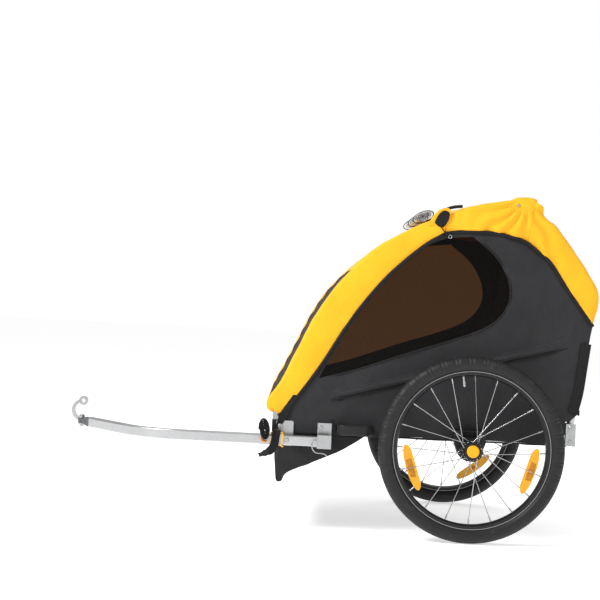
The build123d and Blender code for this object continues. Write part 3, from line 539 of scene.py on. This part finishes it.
def cover_grid(line, seam, rows, lift=0.0, skew=None, slack=None):
    """Points of a cover: up one side band from the seam, over the top, and down the other.

    lift crowns the top, skew(t) drops its left edge, and slack(t, y) lets it sag, all in millimetres.
    """
    outer, lower = smooth(line, rows), smooth(seam, rows)
    normal = normals(np.gradient(outer, axis=0))
    corner = 9.0  # radius of the top's rounded edges
    over = [COVER_Y * math.sin(math.pi / 2 * v) for v in np.linspace(-1, 1, 59)]
    band = np.linspace(0, 1, BAND_COLUMNS + 1)[:-1]
    points = []
    for i, (o, s, n) in enumerate(zip(outer, lower, normal)):
        shift = 0.0 if skew is None else skew(i / (rows - 1))
        row = []
        for side in (-1, 1):
            edge = o - n * (corner + (shift if side < 0 else 0))
            run = [(s + (edge - s) * t, side * (COVER_Y + 2.5 * math.sin(math.pi * t))) for t in band]
            row.append([at(p[0], y, p[1]) for p, y in run])
        top = []
        for y in over:
            fall = max(0.0, abs(y) - (COVER_Y - corner)) / corner
            drop = corner * (1 - math.sqrt(max(0.0, 1 - fall * fall))) + shift * (0.5 - y / COVER_Y / 2)
            sag = 0.0 if slack is None else slack(i / (rows - 1), y)
            p = o + n * (lift * (1 - (y / COVER_Y) ** 2) - drop - sag)
            top.append(at(p[0], y, p[1]))
        points += row[0] + top + row[1][::-1]
    return points, rows, 2 * len(band) + len(over)


def build_covers():
    """The three yellow covers, the mesh screen, and the piping on the seam below them."""
    yellow = MATERIALS["yellow_fabric"]

    def near_edge_drop(t):
        """How far the near edge lies below the far one."""
        return 8.4 * ease(t, 0.04, 0.15) * ease(1 - t, 0.26, 0.58)

    def cross_folds(t, y):
        """Slack cloth between the side edges, in shallow folds from side to side."""
        return ease(COVER_Y - 10 - abs(y), 0, 16) * (3.4 + 1.3 * math.sin(95 * t)) * ease(t, 0.03, 0.1)

    points, rows, columns = cover_grid(FRONT_LINE, FRONT_SEAM, 130, skew=near_edge_drop, slack=cross_folds)
    low, high = 9, 80  # rows of the mesh screen
    border = 8  # columns of yellow border beside it
    left, right = BAND_COLUMNS + border, columns - BAND_COLUMNS - 1 - border

    def in_screen(i, j):
        return low <= i < high and left <= j < right

    def in_border(i, j):
        return not in_screen(i, j)

    front = add_mesh("front_cover_fabric", points, grid_faces(rows, columns, in_border), yellow,
                     "front_cover")
    screen = add_mesh("mesh_screen_sheet", points, grid_faces(rows, columns, in_screen), MATERIALS["mesh"],
                      "front_cover")
    rim = ([(r, left) for r in range(low, high)] + [(high, c) for c in range(left, right)]
           + [(r, right) for r in range(high, low, -1)] + [(low, c) for c in range(right, left, -1)])
    rim_path = [points[r * columns + c] for r, c in rim]
    sweep("mesh_screen_binding", rim_path, round_ring(2.2 * MM, 8), MATERIALS["piping"], "front_cover",
          closed=True)
    for piece, node, slot in ((front, "front_cover", "yellow_fabric"), (screen, "mesh_screen", "mesh")):
        tidy_loose(piece)
        displace(piece, creases)
        thicken(piece, 0.0012)
        stand_for(node)

    points, rows, columns = cover_grid(TOP_LINE, TOP_SEAM, 48, lift=1.0)
    top = add_mesh("top_cover_fabric", points, grid_faces(rows, columns), yellow, "roll_hoop")
    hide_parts("top_cover")
    points, rows, columns = cover_grid(REAR_LINE, REAR_SEAM, 80, lift=1.0)
    rear = add_mesh("rear_cover_fabric", points, grid_faces(rows, columns), yellow, "base")
    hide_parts("rear_cover")
    for piece in (top, rear):
        displace(piece, rear_folds)
        thicken(piece, 0.0012)
    flatten(rear)

    ring = round_ring(5.0 * MM, 12, flat=0.7)
    for name, side in SIDES.items():
        for label, seam, body in (("front", FRONT_SEAM, "front_cover"), ("top", TOP_SEAM, "roll_hoop"),
                                  ("rear", REAR_SEAM, "base")):
            line = smooth(seam, 60)
            path = [at(x, side * (COVER_Y + 0.5), z - 4) for x, z in line]
            piping = sweep(f"{name}_{label}_piping", path, ring, MATERIALS["piping"], body, across=(0, 0, 1))
            above = line + np.array([-3.6, 6.4] if label == "front" else [2.5, 7.0])
            row = stitches(f"{name}_{label}_cover_stitches", above[1:-1], (side * COVER_Y,),
                           MATERIALS["gold_thread"], body, stand=2.0, thick=0.35)
            if body == "base":
                for piece in (piping, row):
                    flatten(piece)


def tidy_loose(piece):
    """Deletes vertices that no face uses."""
    bm = bmesh.new()
    bm.from_mesh(piece.data)
    bmesh.ops.delete(bm, geom=[v for v in bm.verts if not v.link_faces], context="VERTS")
    bm.to_mesh(piece.data)
    bm.free()


# ---------------------------------------------------------------- side walls
PLEAT = ((-372, 352), (262, 524))  # the sewn ridge along the side


def wall_height(point):
    """How far a side wall stands out at a point: creases, folds, the sewn ridge and the groove under it."""
    x, z = (point[0] - AXLE_X) / MM, point[2] / MM
    (x0, z0), (x1, z1) = PLEAT
    length = math.hypot(x1 - x0, z1 - z0)
    along = ((x - x0) * (x1 - x0) + (z - z0) * (z1 - z0)) / length
    off = ((z - z0) * (x1 - x0) - (x - x0) * (z1 - z0)) / length
    ends = ease(along, 0, 50) * ease(length - along, 0, 60)
    ridge = 8.0 * math.exp(-((off - 5) / 5.5) ** 2) - 3.2 * math.exp(-((off + 6) / 5) ** 2)
    droop = 1.6 * math.sin(x / 38 + 2 * noise.noise(Vector(point) * 5)) * ease(400 - z, 0, 110)
    pull = 1.8 * math.sin((z + 0.5 * x) / 30 + 3 * noise.noise(Vector(point) * 4))
    pull *= ease(x, 60, 160) * ease(z, 420, 520)
    return creases(point) * 2.0 + 0.0016 * crease_lines(point, 12) + MM * (ridge * ends + 1.1 * droop + pull)


def build_side_walls():
    """Fabric walls with window openings, tinted windows, hems, stitching, webbing at the rear edge, and a
    dark cord as painted shadow under the sewn ridge.
    """
    seam = np.vstack([smooth(FRONT_SEAM[1:], 60)[:-1], smooth(TOP_SEAM, 24)[:-1], smooth(REAR_SEAM, 36)])
    edge = [(303, 505), (294, 430), (289, 385), (287, 345), (270, 328), (254, 322), (252, 256),
            (120, 262), (-120, 262), (-272, 256), (-492, 258), (-494, 310)]
    outline = [(x, z - 3) for x, z in seam] + edge
    free = smooth(WINDOW_FREE, 90)
    window = [tuple(p) for p in free] + [tuple(p) for p in smooth(WINDOW_SEAM, 50)]
    film = [tuple(p) for p in grown(window, 7)]
    hem = grown(window, 3.5)[WINDOW_HEM]
    rear_edge = smooth([(299, 532), (292, 470), (284, 400), (272, 345)], 30)
    (x0, z0), (x1, z1) = PLEAT
    for name, side in SIDES.items():
        wall = side_sheet(f"{name}_wall", outline, window, 281, side, 6, MATERIALS["charcoal_fabric"], "base")
        displace(wall, wall_height)
        thicken(wall, 0.0012)
        stand_for(f"{name}_side_panel")
        pane = side_sheet(f"{name}_window_film", film, None, 279.2, side, 30, MATERIALS["tinted_film"],
                          "base")
        stand_for(f"{name}_window")
        rim = [at(x, side * 282.2, z) for x, z in hem]
        binding = sweep(f"{name}_window_binding", rim, strap_ring(0.007, 0.0016), MATERIALS["piping"], "base",
                        across=(0, 0, 1))
        path = [at(x, side * 287.5, z) for x, z in rear_edge]
        band = sweep(f"{name}_rear_webbing", path, strap_ring(0.026, 0.003), MATERIALS["webbing"], "base",
                     across=(1, 0, 0))
        for piece in (wall, pane, binding, band):
            flatten(piece)
        # painted shadow: a thin dark cord laid just under the sewn ridge, where its shadow falls
        fold = [at(x, side * 282.4, z0 - 4 + (z1 - z0) * (x - x0) / (x1 - x0))
                for x in np.linspace(x0 + 4, x1 - 12, 60)]
        shade = sweep(f"{name}_pleat_shadow_cord", fold, round_ring(1.9 * MM, 8), MATERIALS["piping"], "base",
                      across=(0, 0, 1))
        flatten(shade)
    for label, line in (("window_stitches", grown(window, 8)[WINDOW_HEM]),
                        ("pleat_stitches", [(-366, 372), (250, 540)])):
        row = stitches(label, line, (-281.9, 281.9), MATERIALS["thread"], "base")
        flatten(row)


def grown(loop, amount):
    """A closed side-view outline moved outwards by an amount in millimetres."""
    p = np.array(loop, float)
    normal = normals(np.roll(p, -1, axis=0) - np.roll(p, 1, axis=0))
    area = np.sum(p[:, 0] * np.roll(p[:, 1], -1) - np.roll(p[:, 0], -1) * p[:, 1])
    return p + normal * amount * (-1 if area > 0 else 1)


# ---------------------------------------------------------------- floor, footwell and rear wall
WELL_SIDE = [(-509, 256), (-512, 201), (-509, 160), (-505, 127), (-497, 123), (-490, 126), (-485, 139),
             (-474, 150), (-452, 161), (-425, 173), (-380, 193), (-350, 206), (-325, 220), (-300, 236),
             (-274, 254)]


def loft_across(name, line, half, count, material, body, bow=0.0):
    """A sheet along a side-view line, from Y = -half to half, bowed out in the middle."""
    line = np.array(line, float)
    points = []
    for (x, z), (nx, nz) in zip(line, normals(np.gradient(line, axis=0))):
        for v in np.linspace(-1, 1, count):
            out = bow * (1 - v * v)
            points.append(at(x + nx * out, v * half, z + nz * out))
    return add_mesh(name, points, grid_faces(len(line), count), material, body)


def build_floor():
    """The fabric floor and the footwell bag that hangs from it."""
    charcoal = MATERIALS["charcoal_fabric"]
    line = smooth(WELL_SIDE, 64)
    bag = loft_across("footwell_bag", line, 254, 66, charcoal, "base")
    displace(bag, lambda p: 0.8 * creases(p))
    thicken(bag, 0.0016)
    sheets = [bag]
    for name, side in SIDES.items():
        cheek = side_sheet(f"footwell_{name}_cheek", [tuple(p) for p in line[:-1]], None, 254, side, 12,
                           charcoal, "base")
        displace(cheek, lambda p: 1.5 * creases(p) + 0.0016 * math.sin(p[0] * 75 + p[2] * 60))
        sheets.append(thicken(cheek, 0.0016))
    flat = even(np.array([(-508, 256.5), (260, 256.5)]), 70)
    floor = loft_across("floor_sheet", flat, 277, 60, charcoal, "base")
    displace(floor, creases)
    sheets.append(thicken(floor, 0.002))
    for sheet in sheets:
        stand_for("floor_tub")


def build_rear_wall():
    """The rear wall below the yellow cover, with its webbing and hem."""
    line = smooth([(313, 590), (303, 500), (296, 440), (291, 385), (289, 345)], 40)
    wall = loft_across("rear_wall", line, 274, 70, MATERIALS["charcoal_fabric"], "base", bow=-1.5)
    displace(wall, lambda p: 1.8 * creases(p))
    thicken(wall, 0.0014)
    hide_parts("rear_panel")
    pieces = [wall]
    for name, side in SIDES.items():
        path = [at(x + 3.5, side * 120, z) for x, z in line[4:]]
        strap = sweep(f"rear_{name}_strap", path, strap_ring(0.030, 0.002), MATERIALS["webbing"], "base")
        pieces.append(strap)
    hem = [at(291.5, y, 347) for y in np.linspace(-272, 272, 60)]
    pieces.append(sweep("rear_hem", hem, strap_ring(0.016, 0.003), MATERIALS["piping"], "base",
                        across=(0, 0, 1)))
    for piece in pieces:
        flatten(piece)


# ---------------------------------------------------------------- seat
def plump(piece, pressure, cap):
    """Inflates a closed mesh with cloth simulation. cap is how far a point may move, in metres."""
    modifier = piece.modifiers.new("remesh", "REMESH")
    modifier.mode, modifier.voxel_size = "VOXEL", 0.006
    bake(piece)
    rest = [v.co.copy() for v in piece.data.vertices]
    cloth = piece.modifiers.new("cloth", "CLOTH")
    cloth.settings.use_pressure = True
    cloth.settings.uniform_pressure_force = pressure
    cloth.settings.effector_weights.gravity = 0
    cloth.settings.quality = 4
    cloth.collision_settings.use_collision = False
    scene = bpy.context.scene
    for number in range(1, 21):
        scene.frame_set(number)
    bake(piece)
    scene.frame_set(1)
    for vertex, start in zip(piece.data.vertices, rest):
        move = vertex.co - start
        if move.length > cap:
            vertex.co = start + move * (cap / move.length)


def bake(piece):
    """Makes the evaluated mesh the piece's own mesh, with no modifiers left."""
    graph = bpy.context.evaluated_depsgraph_get()
    done = bpy.data.meshes.new_from_object(piece.evaluated_get(graph))
    piece.modifiers.clear()
    piece.data = done
    done.polygons.foreach_set("use_smooth", [True] * len(done.polygons))


def cushion(name, node, length, width, thick, corner, along, channels, cap):
    """A padded cushion: a rounded slab blown up by cloth simulation, with sewn channels pulled in afterwards.

    corner and along are the slab's middle and the direction of its length in the side view, in millimetres.
    """
    bm = bmesh.new()
    bmesh.ops.create_cube(bm, size=1)
    for v in bm.verts:
        v.co = Vector((v.co.x * length * MM, v.co.y * width * MM, v.co.z * thick * MM))
    round_off = min(thick * 0.45, 10) * MM
    bmesh.ops.bevel(bm, geom=bm.edges[:], offset=round_off, segments=3, affect="EDGES", profile=0.5)
    mesh = bpy.data.meshes.new(name)
    bm.to_mesh(mesh)
    bm.free()
    piece = bpy.data.objects.new(name, mesh)
    bpy.context.scene.collection.objects.link(piece)
    plump(piece, 4.0, cap)
    modifier = piece.modifiers.new("finer", "SUBSURF")
    modifier.levels = modifier.render_levels = 1
    bake(piece)
    u = np.array([along[0], 0, along[1]]) / math.hypot(*along)
    w = np.array([-u[2], 0, u[0]])
    origin = at(corner[0], 0, corner[1])
    for v in piece.data.vertices:
        x, y, z = v.co
        pinch = max(math.exp(-((y / MM - c) / 5) ** 2) if kind == "y" else math.exp(-((x / MM - c) / 5) ** 2)
                    for kind, c in channels)
        z *= 1 - 0.42 * pinch
        z += 0.0016 * noise.noise(Vector((x * 26, y * 26, z * 8)))
        v.co = Vector(origin + u * x + np.array([0, 1, 0]) * y + w * z)
    piece.data.materials.clear()
    piece.data.materials.append(MATERIALS["seat_fabric"])
    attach(piece, "base")
    stand_for(node)
    return piece


def build_seat():
    """The bench and back cushions, and the harness ribbons."""
    cushion("seat_bottom_cushion", "seat_bottom", 262, 420, 20, (-65, 305.5), (1, 0),
            [("y", 0), ("x", 60)], 0.006)
    back = cushion("seat_back_cushion", "seat_back", 446, 424, 11, (117, 564), (52, 470),
                   [("y", 0), ("x", -60), ("x", 80)], 0.005)
    flatten(back)
    ribbon = strap_ring(0.024, 0.0018)
    # (x, z, share of the spread from the harness's middle line)
    shoulder = [(121, 790, 1), (104, 650, 1), (84, 470, 0.95), (67, 372, 0.85), (38, 334, 0.6),
                (-15, 327, 0.3)]
    waist = [(70, 330, 1.3), (20, 327, 1), (-30, 328, 0.35)]
    crotch = [(-68, 327), (-110, 325.5), (-170, 324.5)]
    for name, side in SIDES.items():
        y = side * 115
        for label, spread in (("outer", side * 62), ("inner", side * -62)):
            path = smooth([at(x, y + spread * k, z) for x, z, k in shoulder], 60)
            strap = sweep(f"{name}_{label}_shoulder_strap", path, ribbon, MATERIALS["webbing"], "base")
            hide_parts("harness_straps")
            flatten(strap)
            path = smooth([at(x, y + spread * k, z) for x, z, k in waist], 30)
            sweep(f"{name}_{label}_lap_strap", path, ribbon, MATERIALS["webbing"], "base")
        path = smooth([at(x, y, z) for x, z in crotch], 20)
        sweep(f"{name}_crotch_strap", path, ribbon, MATERIALS["webbing"], "base")


# ---------------------------------------------------------------- wheels
def build_wheels():
    """Each wheel's treaded tyre, its spoke heads, and the raised parts of its reflectors."""
    around, across = 720, 26
    tread_blocks = 40
    wheel_y, axle_z, section_radius = WHEEL_Y / MM, AXLE_Z / MM, TYRE_SECTION / MM
    prism_material = MATERIALS["amber_prism"]
    for name, side in SIDES.items():
        body = f"{name}_wheel"
        points = []
        for i in range(around):
            turn = 2 * math.pi * i / around
            phase = (turn / (2 * math.pi) * tread_blocks) % 1
            notch = max(math.exp(-((phase - c) / 0.065) ** 2) for c in (0.26, 0.5))
            for j in range(across):
                roll = math.radians(-158 + 316 * j / (across - 1))
                shoulder = ease(abs(roll), 0.35, 0.5) * ease(1.75 - abs(roll), 0, 0.15)
                ribs = math.exp(-((abs(roll) - 0.2) / 0.06) ** 2)
                ribs += 0.6 * math.exp(-((abs(roll) - 1.85) / 0.05) ** 2)
                section = section_radius - 2.3 * notch * shoulder - 1.3 * ribs
                radius = TYRE_RADIUS / MM - section_radius + section * math.cos(roll)
                x, z = radius * math.cos(turn), axle_z + radius * math.sin(turn)
                points.append(at(x, side * wheel_y + section * math.sin(roll), z))
        tyre = add_mesh(f"{name}_treaded_tyre", points, grid_faces(around, across, wrap=True),
                        MATERIALS["tyre"], body)
        thicken(tyre, 0.0022, offset=-1)
        stand_for(f"{name}_tyre")
        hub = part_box(f"{name}_hub")
        face = max(abs(hub[0].y), abs(hub[1].y)) / MM
        heads = [at(24.5 * math.cos(a), side * (face - 11), axle_z + 24.5 * math.sin(a))
                 for a in np.linspace(0, 2 * math.pi, 18, endpoint=False)]
        for k in (1, 2):
            turn = math.radians(REFLECTOR_START[name] - REFLECTOR_STEP * (k - 1))
            c, n = math.cos(turn), math.sin(turn)
            corners = [(REFLECTOR_RADIUS + r, t) for r, t in ((-6, -25), (7, -23), (9, 0), (7, 23), (-6, 25))]
            outline = [(r * c - t * n, axle_z + r * n + t * c) for r, t in corners]
            prism = side_sheet(f"{name}_reflector_prism_{k}", outline, None, wheel_y + 1.9, side, 6,
                               prism_material, body)
            thicken(prism, 0.0007)
            boss = at(REFLECTOR_RADIUS * c, side * (wheel_y + 2.4), axle_z + REFLECTOR_RADIUS * n)
            domes(f"{name}_reflector_boss_{k}", [boss], 5.0, side, prism_material, body)
        domes(f"{name}_spoke_heads", heads, 1.7, side, MATERIALS["chrome"], body)


def domes(name, centres, radius, side, material, body):
    """Small round heads whose domes face outwards along Y. radius is in millimetres."""
    count = 10  # points round a head
    points, faces = [], []
    for centre in centres:
        faces += tube_faces(len(points), 4, count)
        for height, ring in ((-1.2, 1.0), (0.0, 1.0), (0.55, 0.75), (0.8, 0.35)):
            for a in np.linspace(0, 2 * math.pi, count, endpoint=False):
                offset = np.array([ring * math.cos(a), side * height, ring * math.sin(a)])
                points.append(centre + offset * radius * MM)
    return add_mesh(name, points, faces, material, body)


# ---------------------------------------------------------------- trim
def side_strap(name, line, y, width, material, body, thick):
    """A strap along a side-view line at a given Y, all in millimetres but thick, its width lying across."""
    return sweep(name, [at(x, y, z) for x, z in line], strap_ring(width * MM, thick), material, body)


def build_rain_shield():
    """The clear rain shield rolled up at the top of the front cover, held by three strap loops."""
    turns, tilt, (centre_x, centre_z) = 2.4, math.radians(24), (-142, 852)
    count, columns = 170, 60
    clear = MATERIALS["clear_film"]

    def on_oval(wide, high, angle, y):
        """A point of a tilted oval round the roll's middle, with those half axes."""
        a, b = wide * math.cos(angle), high * math.sin(angle)
        x = centre_x + a * math.cos(tilt) - b * math.sin(tilt)
        return at(x, y, centre_z + a * math.sin(tilt) + b * math.cos(tilt))

    points = []
    for t in (i / (count - 1) for i in range(count)):
        angle, scale = 2 * math.pi * turns * t, 0.42 + 0.52 * t
        for y in np.linspace(-203, 203, columns):
            crumple = scale * (1 + 0.10 * noise.noise(Vector((angle * 1.3, y * 0.03, 4.0))))
            points.append(on_oval(28 * crumple, 13 * crumple, angle, y))
    roll = add_mesh("rolled_clear_shield", points, grid_faces(count, columns), clear, "front_cover")
    thicken(roll, 0.0007)
    stand_for("rolled_rain_shield")
    angles = np.linspace(0, 2 * math.pi, 40, endpoint=False)
    for k, y in enumerate((-188, -8, 172)):
        loop = [on_oval(29.5, 14, angle, y) for angle in angles]
        sweep(f"shield_loop_{k + 1}", loop, strap_ring(0.020, 0.0016), MATERIALS["webbing"], "front_cover",
              closed=True)


def build_tabs():
    """The yellow loops and black tabs that fasten the front cover, with their strap ends and cords."""
    yellow_line = [(-134, 824), (-128, 843), (-117, 858), (-103, 869), (-90, 873), (-80, 870), (-76, 858),
                   (-82, 842), (-92, 826), (-100, 815), (-110, 820), (-122, 826)]
    black_line = [(-119, 832), (-114, 846), (-106, 858), (-96, 865), (-86, 864), (-80, 857), (-82, 843),
                  (-88, 830), (-97, 821), (-108, 823)]
    strap_line = smooth([(-100, 861), (-84, 872), (-66, 877.5), (-46, 880)], 24)
    cord_line = [(-104, 826, 290), (-97, 816, 290.5), (-88, 806, 290.5), (-79, 799, 289)]
    angles = np.linspace(0, 2 * math.pi, 20)[:-1]
    steel, strap_cloth = MATERIALS["steel"], MATERIALS["webbing"]
    body = "roll_hoop"
    for name, side in SIDES.items():
        yellow = side_sheet(f"{name}_yellow_tab", closed_smooth(yellow_line), None, 285.2, side, 5,
                            MATERIALS["yellow_fabric"], body)
        displace(yellow, lambda p: 0.0014 + 0.0012 * noise.noise(Vector(p) * 60))
        black = side_sheet(f"{name}_black_tab", closed_smooth(black_line), None, 288.4, side, 4,
                           MATERIALS["piping"], body)
        displace(black, lambda p: 0.0010 + 0.0012 * noise.noise(Vector(p) * 70))
        for tab, thickness in ((yellow, 0.0020), (black, 0.0034)):
            thicken(tab, thickness)
            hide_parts("cover_tabs")
        side_strap(f"{name}_tab_strap", strap_line, side * 272, 20, strap_cloth, body, thick=0.008)
        cord = smooth([at(x, side * y, z) for x, z, y in cord_line], 24)
        sweep(f"{name}_tab_cord", cord, round_ring(0.0014, 8), strap_cloth, body)
        hook = [at(-76 + 4.5 * math.cos(a), side * 289, 797 + 4.5 * math.sin(a)) for a in angles]
        sweep(f"{name}_tab_hook", hook, round_ring(0.0011, 8), steel, body, closed=True)
        domes(f"{name}_cover_rivet", [at(101, side * (COVER_Y + 1.5), 889)], 4.6, side, steel, body)


def closed_smooth(points):
    """A closed loop through the given points, rounded, with its last point left open."""
    return [tuple(p) for p in smooth(list(points) + points[:1], 48)[:-1]]


def build_front_straps():
    """The rolled safety strap, the bands round the tow bar, and the cover's flaps and hold-downs."""
    black = MATERIALS["webbing"]
    near = TOW_Y - 16
    all_turns = 2 * math.pi * 4.5
    roll = []
    for angle in np.linspace(0, all_turns, 150):
        scale = 0.1 + 0.9 * angle / all_turns
        a, b = 13.5 * scale * math.cos(angle), 28 * scale * math.sin(angle)
        roll.append((-540 + a - 0.12 * b, 268 + b))
    bundle = side_strap("rolled_safety_strap", roll, near - 14, 25, black, "tow_bar", thick=0.004)
    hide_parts("safety_strap")
    tip_line = [(-548, 246), (-546, 240), (-540, 236), (-533, 236)]
    tip = side_strap("safety_strap_tip", tip_line, near - 14, 25.5, MATERIALS["orange_tip"], "tow_bar",
                     thick=0.004)
    for k, x in enumerate((-521, -493)):
        loop = [at(x + 2 * math.sin(3 * a), TOW_Y + square(math.cos(a)) * 17, 240 + square(math.sin(a)) * 17)
                for a in np.linspace(0, 2 * math.pi, 48, endpoint=False)]
        band = sweep(f"tow_bar_band_{k + 1}", loop, round_ring(0.0021, 8), MATERIALS["yellow_cord"],
                     "tow_bar", across=(1, 0, 0), closed=True)
    over = smooth([(-508, 268, near - 1), (-510, 252, near - 2), (-513, 228, near - 3), (-522, 213, near - 2),
                   (-536, 205, near - 4), (-552, 199, near - 6)], 40)
    path = [at(x, y, z) for x, z, y in over]
    sweep("tow_bar_strap", path, strap_ring(0.022, 0.0022), black, "tow_bar", across=(1, 0, 0.3))
    flap_line = [(-470, 358), (-459, 354), (-474, 318), (-488, 290), (-503, 268), (-512, 270), (-507, 292),
                 (-500, 312)]
    hold_line = [(-377, 264), (-366, 299), (-357, 287), (-348, 270)]
    for name, side in SIDES.items():
        flap = side_sheet(f"{name}_cover_flap", closed_smooth(flap_line), None, 286.6, side, 6,
                          MATERIALS["piping"], "front_cover")
        displace(flap, lambda p: 0.0012 * noise.noise(Vector(p) * 50))
        thicken(flap, 0.002)
        hold = side_sheet(f"{name}_hold_down", hold_line, None, 284.5, side, 6, black, "base")
        thicken(hold, 0.0022)


def square(value):
    """Pushes a sine or cosine towards the corners of a rounded square."""
    return math.copysign(min(1.0, abs(value) ** 0.45), value)


# ---------------------------------------------------------------- stage
def build_stage():
    """A plain pale floor, a white sky and soft lights, and the camera at the side."""
    bpy.ops.mesh.primitive_plane_add(size=40, location=(0, 0, -0.0005))
    floor = bpy.context.object
    floor.name = "floor"
    pale = Shader("pale_floor", (0.93, 0.93, 0.93), 0.9, Emission_Color=(1, 1, 1, 1), Emission_Strength=0.55)
    pale.tint(pale.noise(0.8, 2), (0.91, 0.91, 0.915), 0.3)
    floor.data.materials.append(pale.material)

    world = bpy.data.worlds.new("studio")
    world.use_nodes = True
    nodes, links = world.node_tree.nodes, world.node_tree.links
    seen = nodes.new("ShaderNodeLightPath")
    strength = nodes.new("ShaderNodeMapRange")
    strength.inputs["To Min"].default_value = 0.46
    strength.inputs["To Max"].default_value = 1.0
    links.new(seen.outputs["Is Camera Ray"], strength.inputs["Value"])
    links.new(strength.outputs["Result"], nodes["Background"].inputs["Strength"])
    nodes["Background"].inputs["Color"].default_value = (1, 1, 1, 1)
    bpy.context.scene.world = world
    bpy.context.scene.view_settings.view_transform = "Standard"
    # name, place and size in metres, power in watts
    lights = (("key", (-2.5, -1.7, 3.2), 1.3, 150), ("fill", (2.6, -2.6, 2.2), 2.5, 26),
              ("rim", (0.6, 2.8, 3.0), 2.5, 30))
    for name, place, size, power in lights:
        light = bpy.data.lights.new(name, "AREA")
        light.energy, light.size = power, size
        lamp = bpy.data.objects.new(name, light)
        lamp.location = place
        lamp.rotation_euler = (Vector((0.2, 0, 0.45)) - Vector(place)).to_track_quat("-Z", "Y").to_euler()
        bpy.context.scene.collection.objects.link(lamp)

    # the camera looks square across the trailer, and leans with a trailer that stands 2.9 degrees nose up
    lean = math.radians(2.9)
    data = bpy.data.cameras.new("camera")
    data.lens, data.sensor_width = 82.0, 36.0
    data.shift_x, data.shift_y = -0.0133, -0.0058
    camera = bpy.data.objects.new("camera", data)
    camera.location = at(-444, -3905.5, 620)
    camera.rotation_euler = (math.radians(90), -lean, 0)
    bpy.context.scene.collection.objects.link(camera)
    bpy.context.scene.camera = camera


finish_frame_nodes()
build_covers()
build_side_walls()
build_floor()
build_rear_wall()
build_seat()
build_wheels()
build_rain_shield()
build_tabs()
build_front_straps()
build_stage()
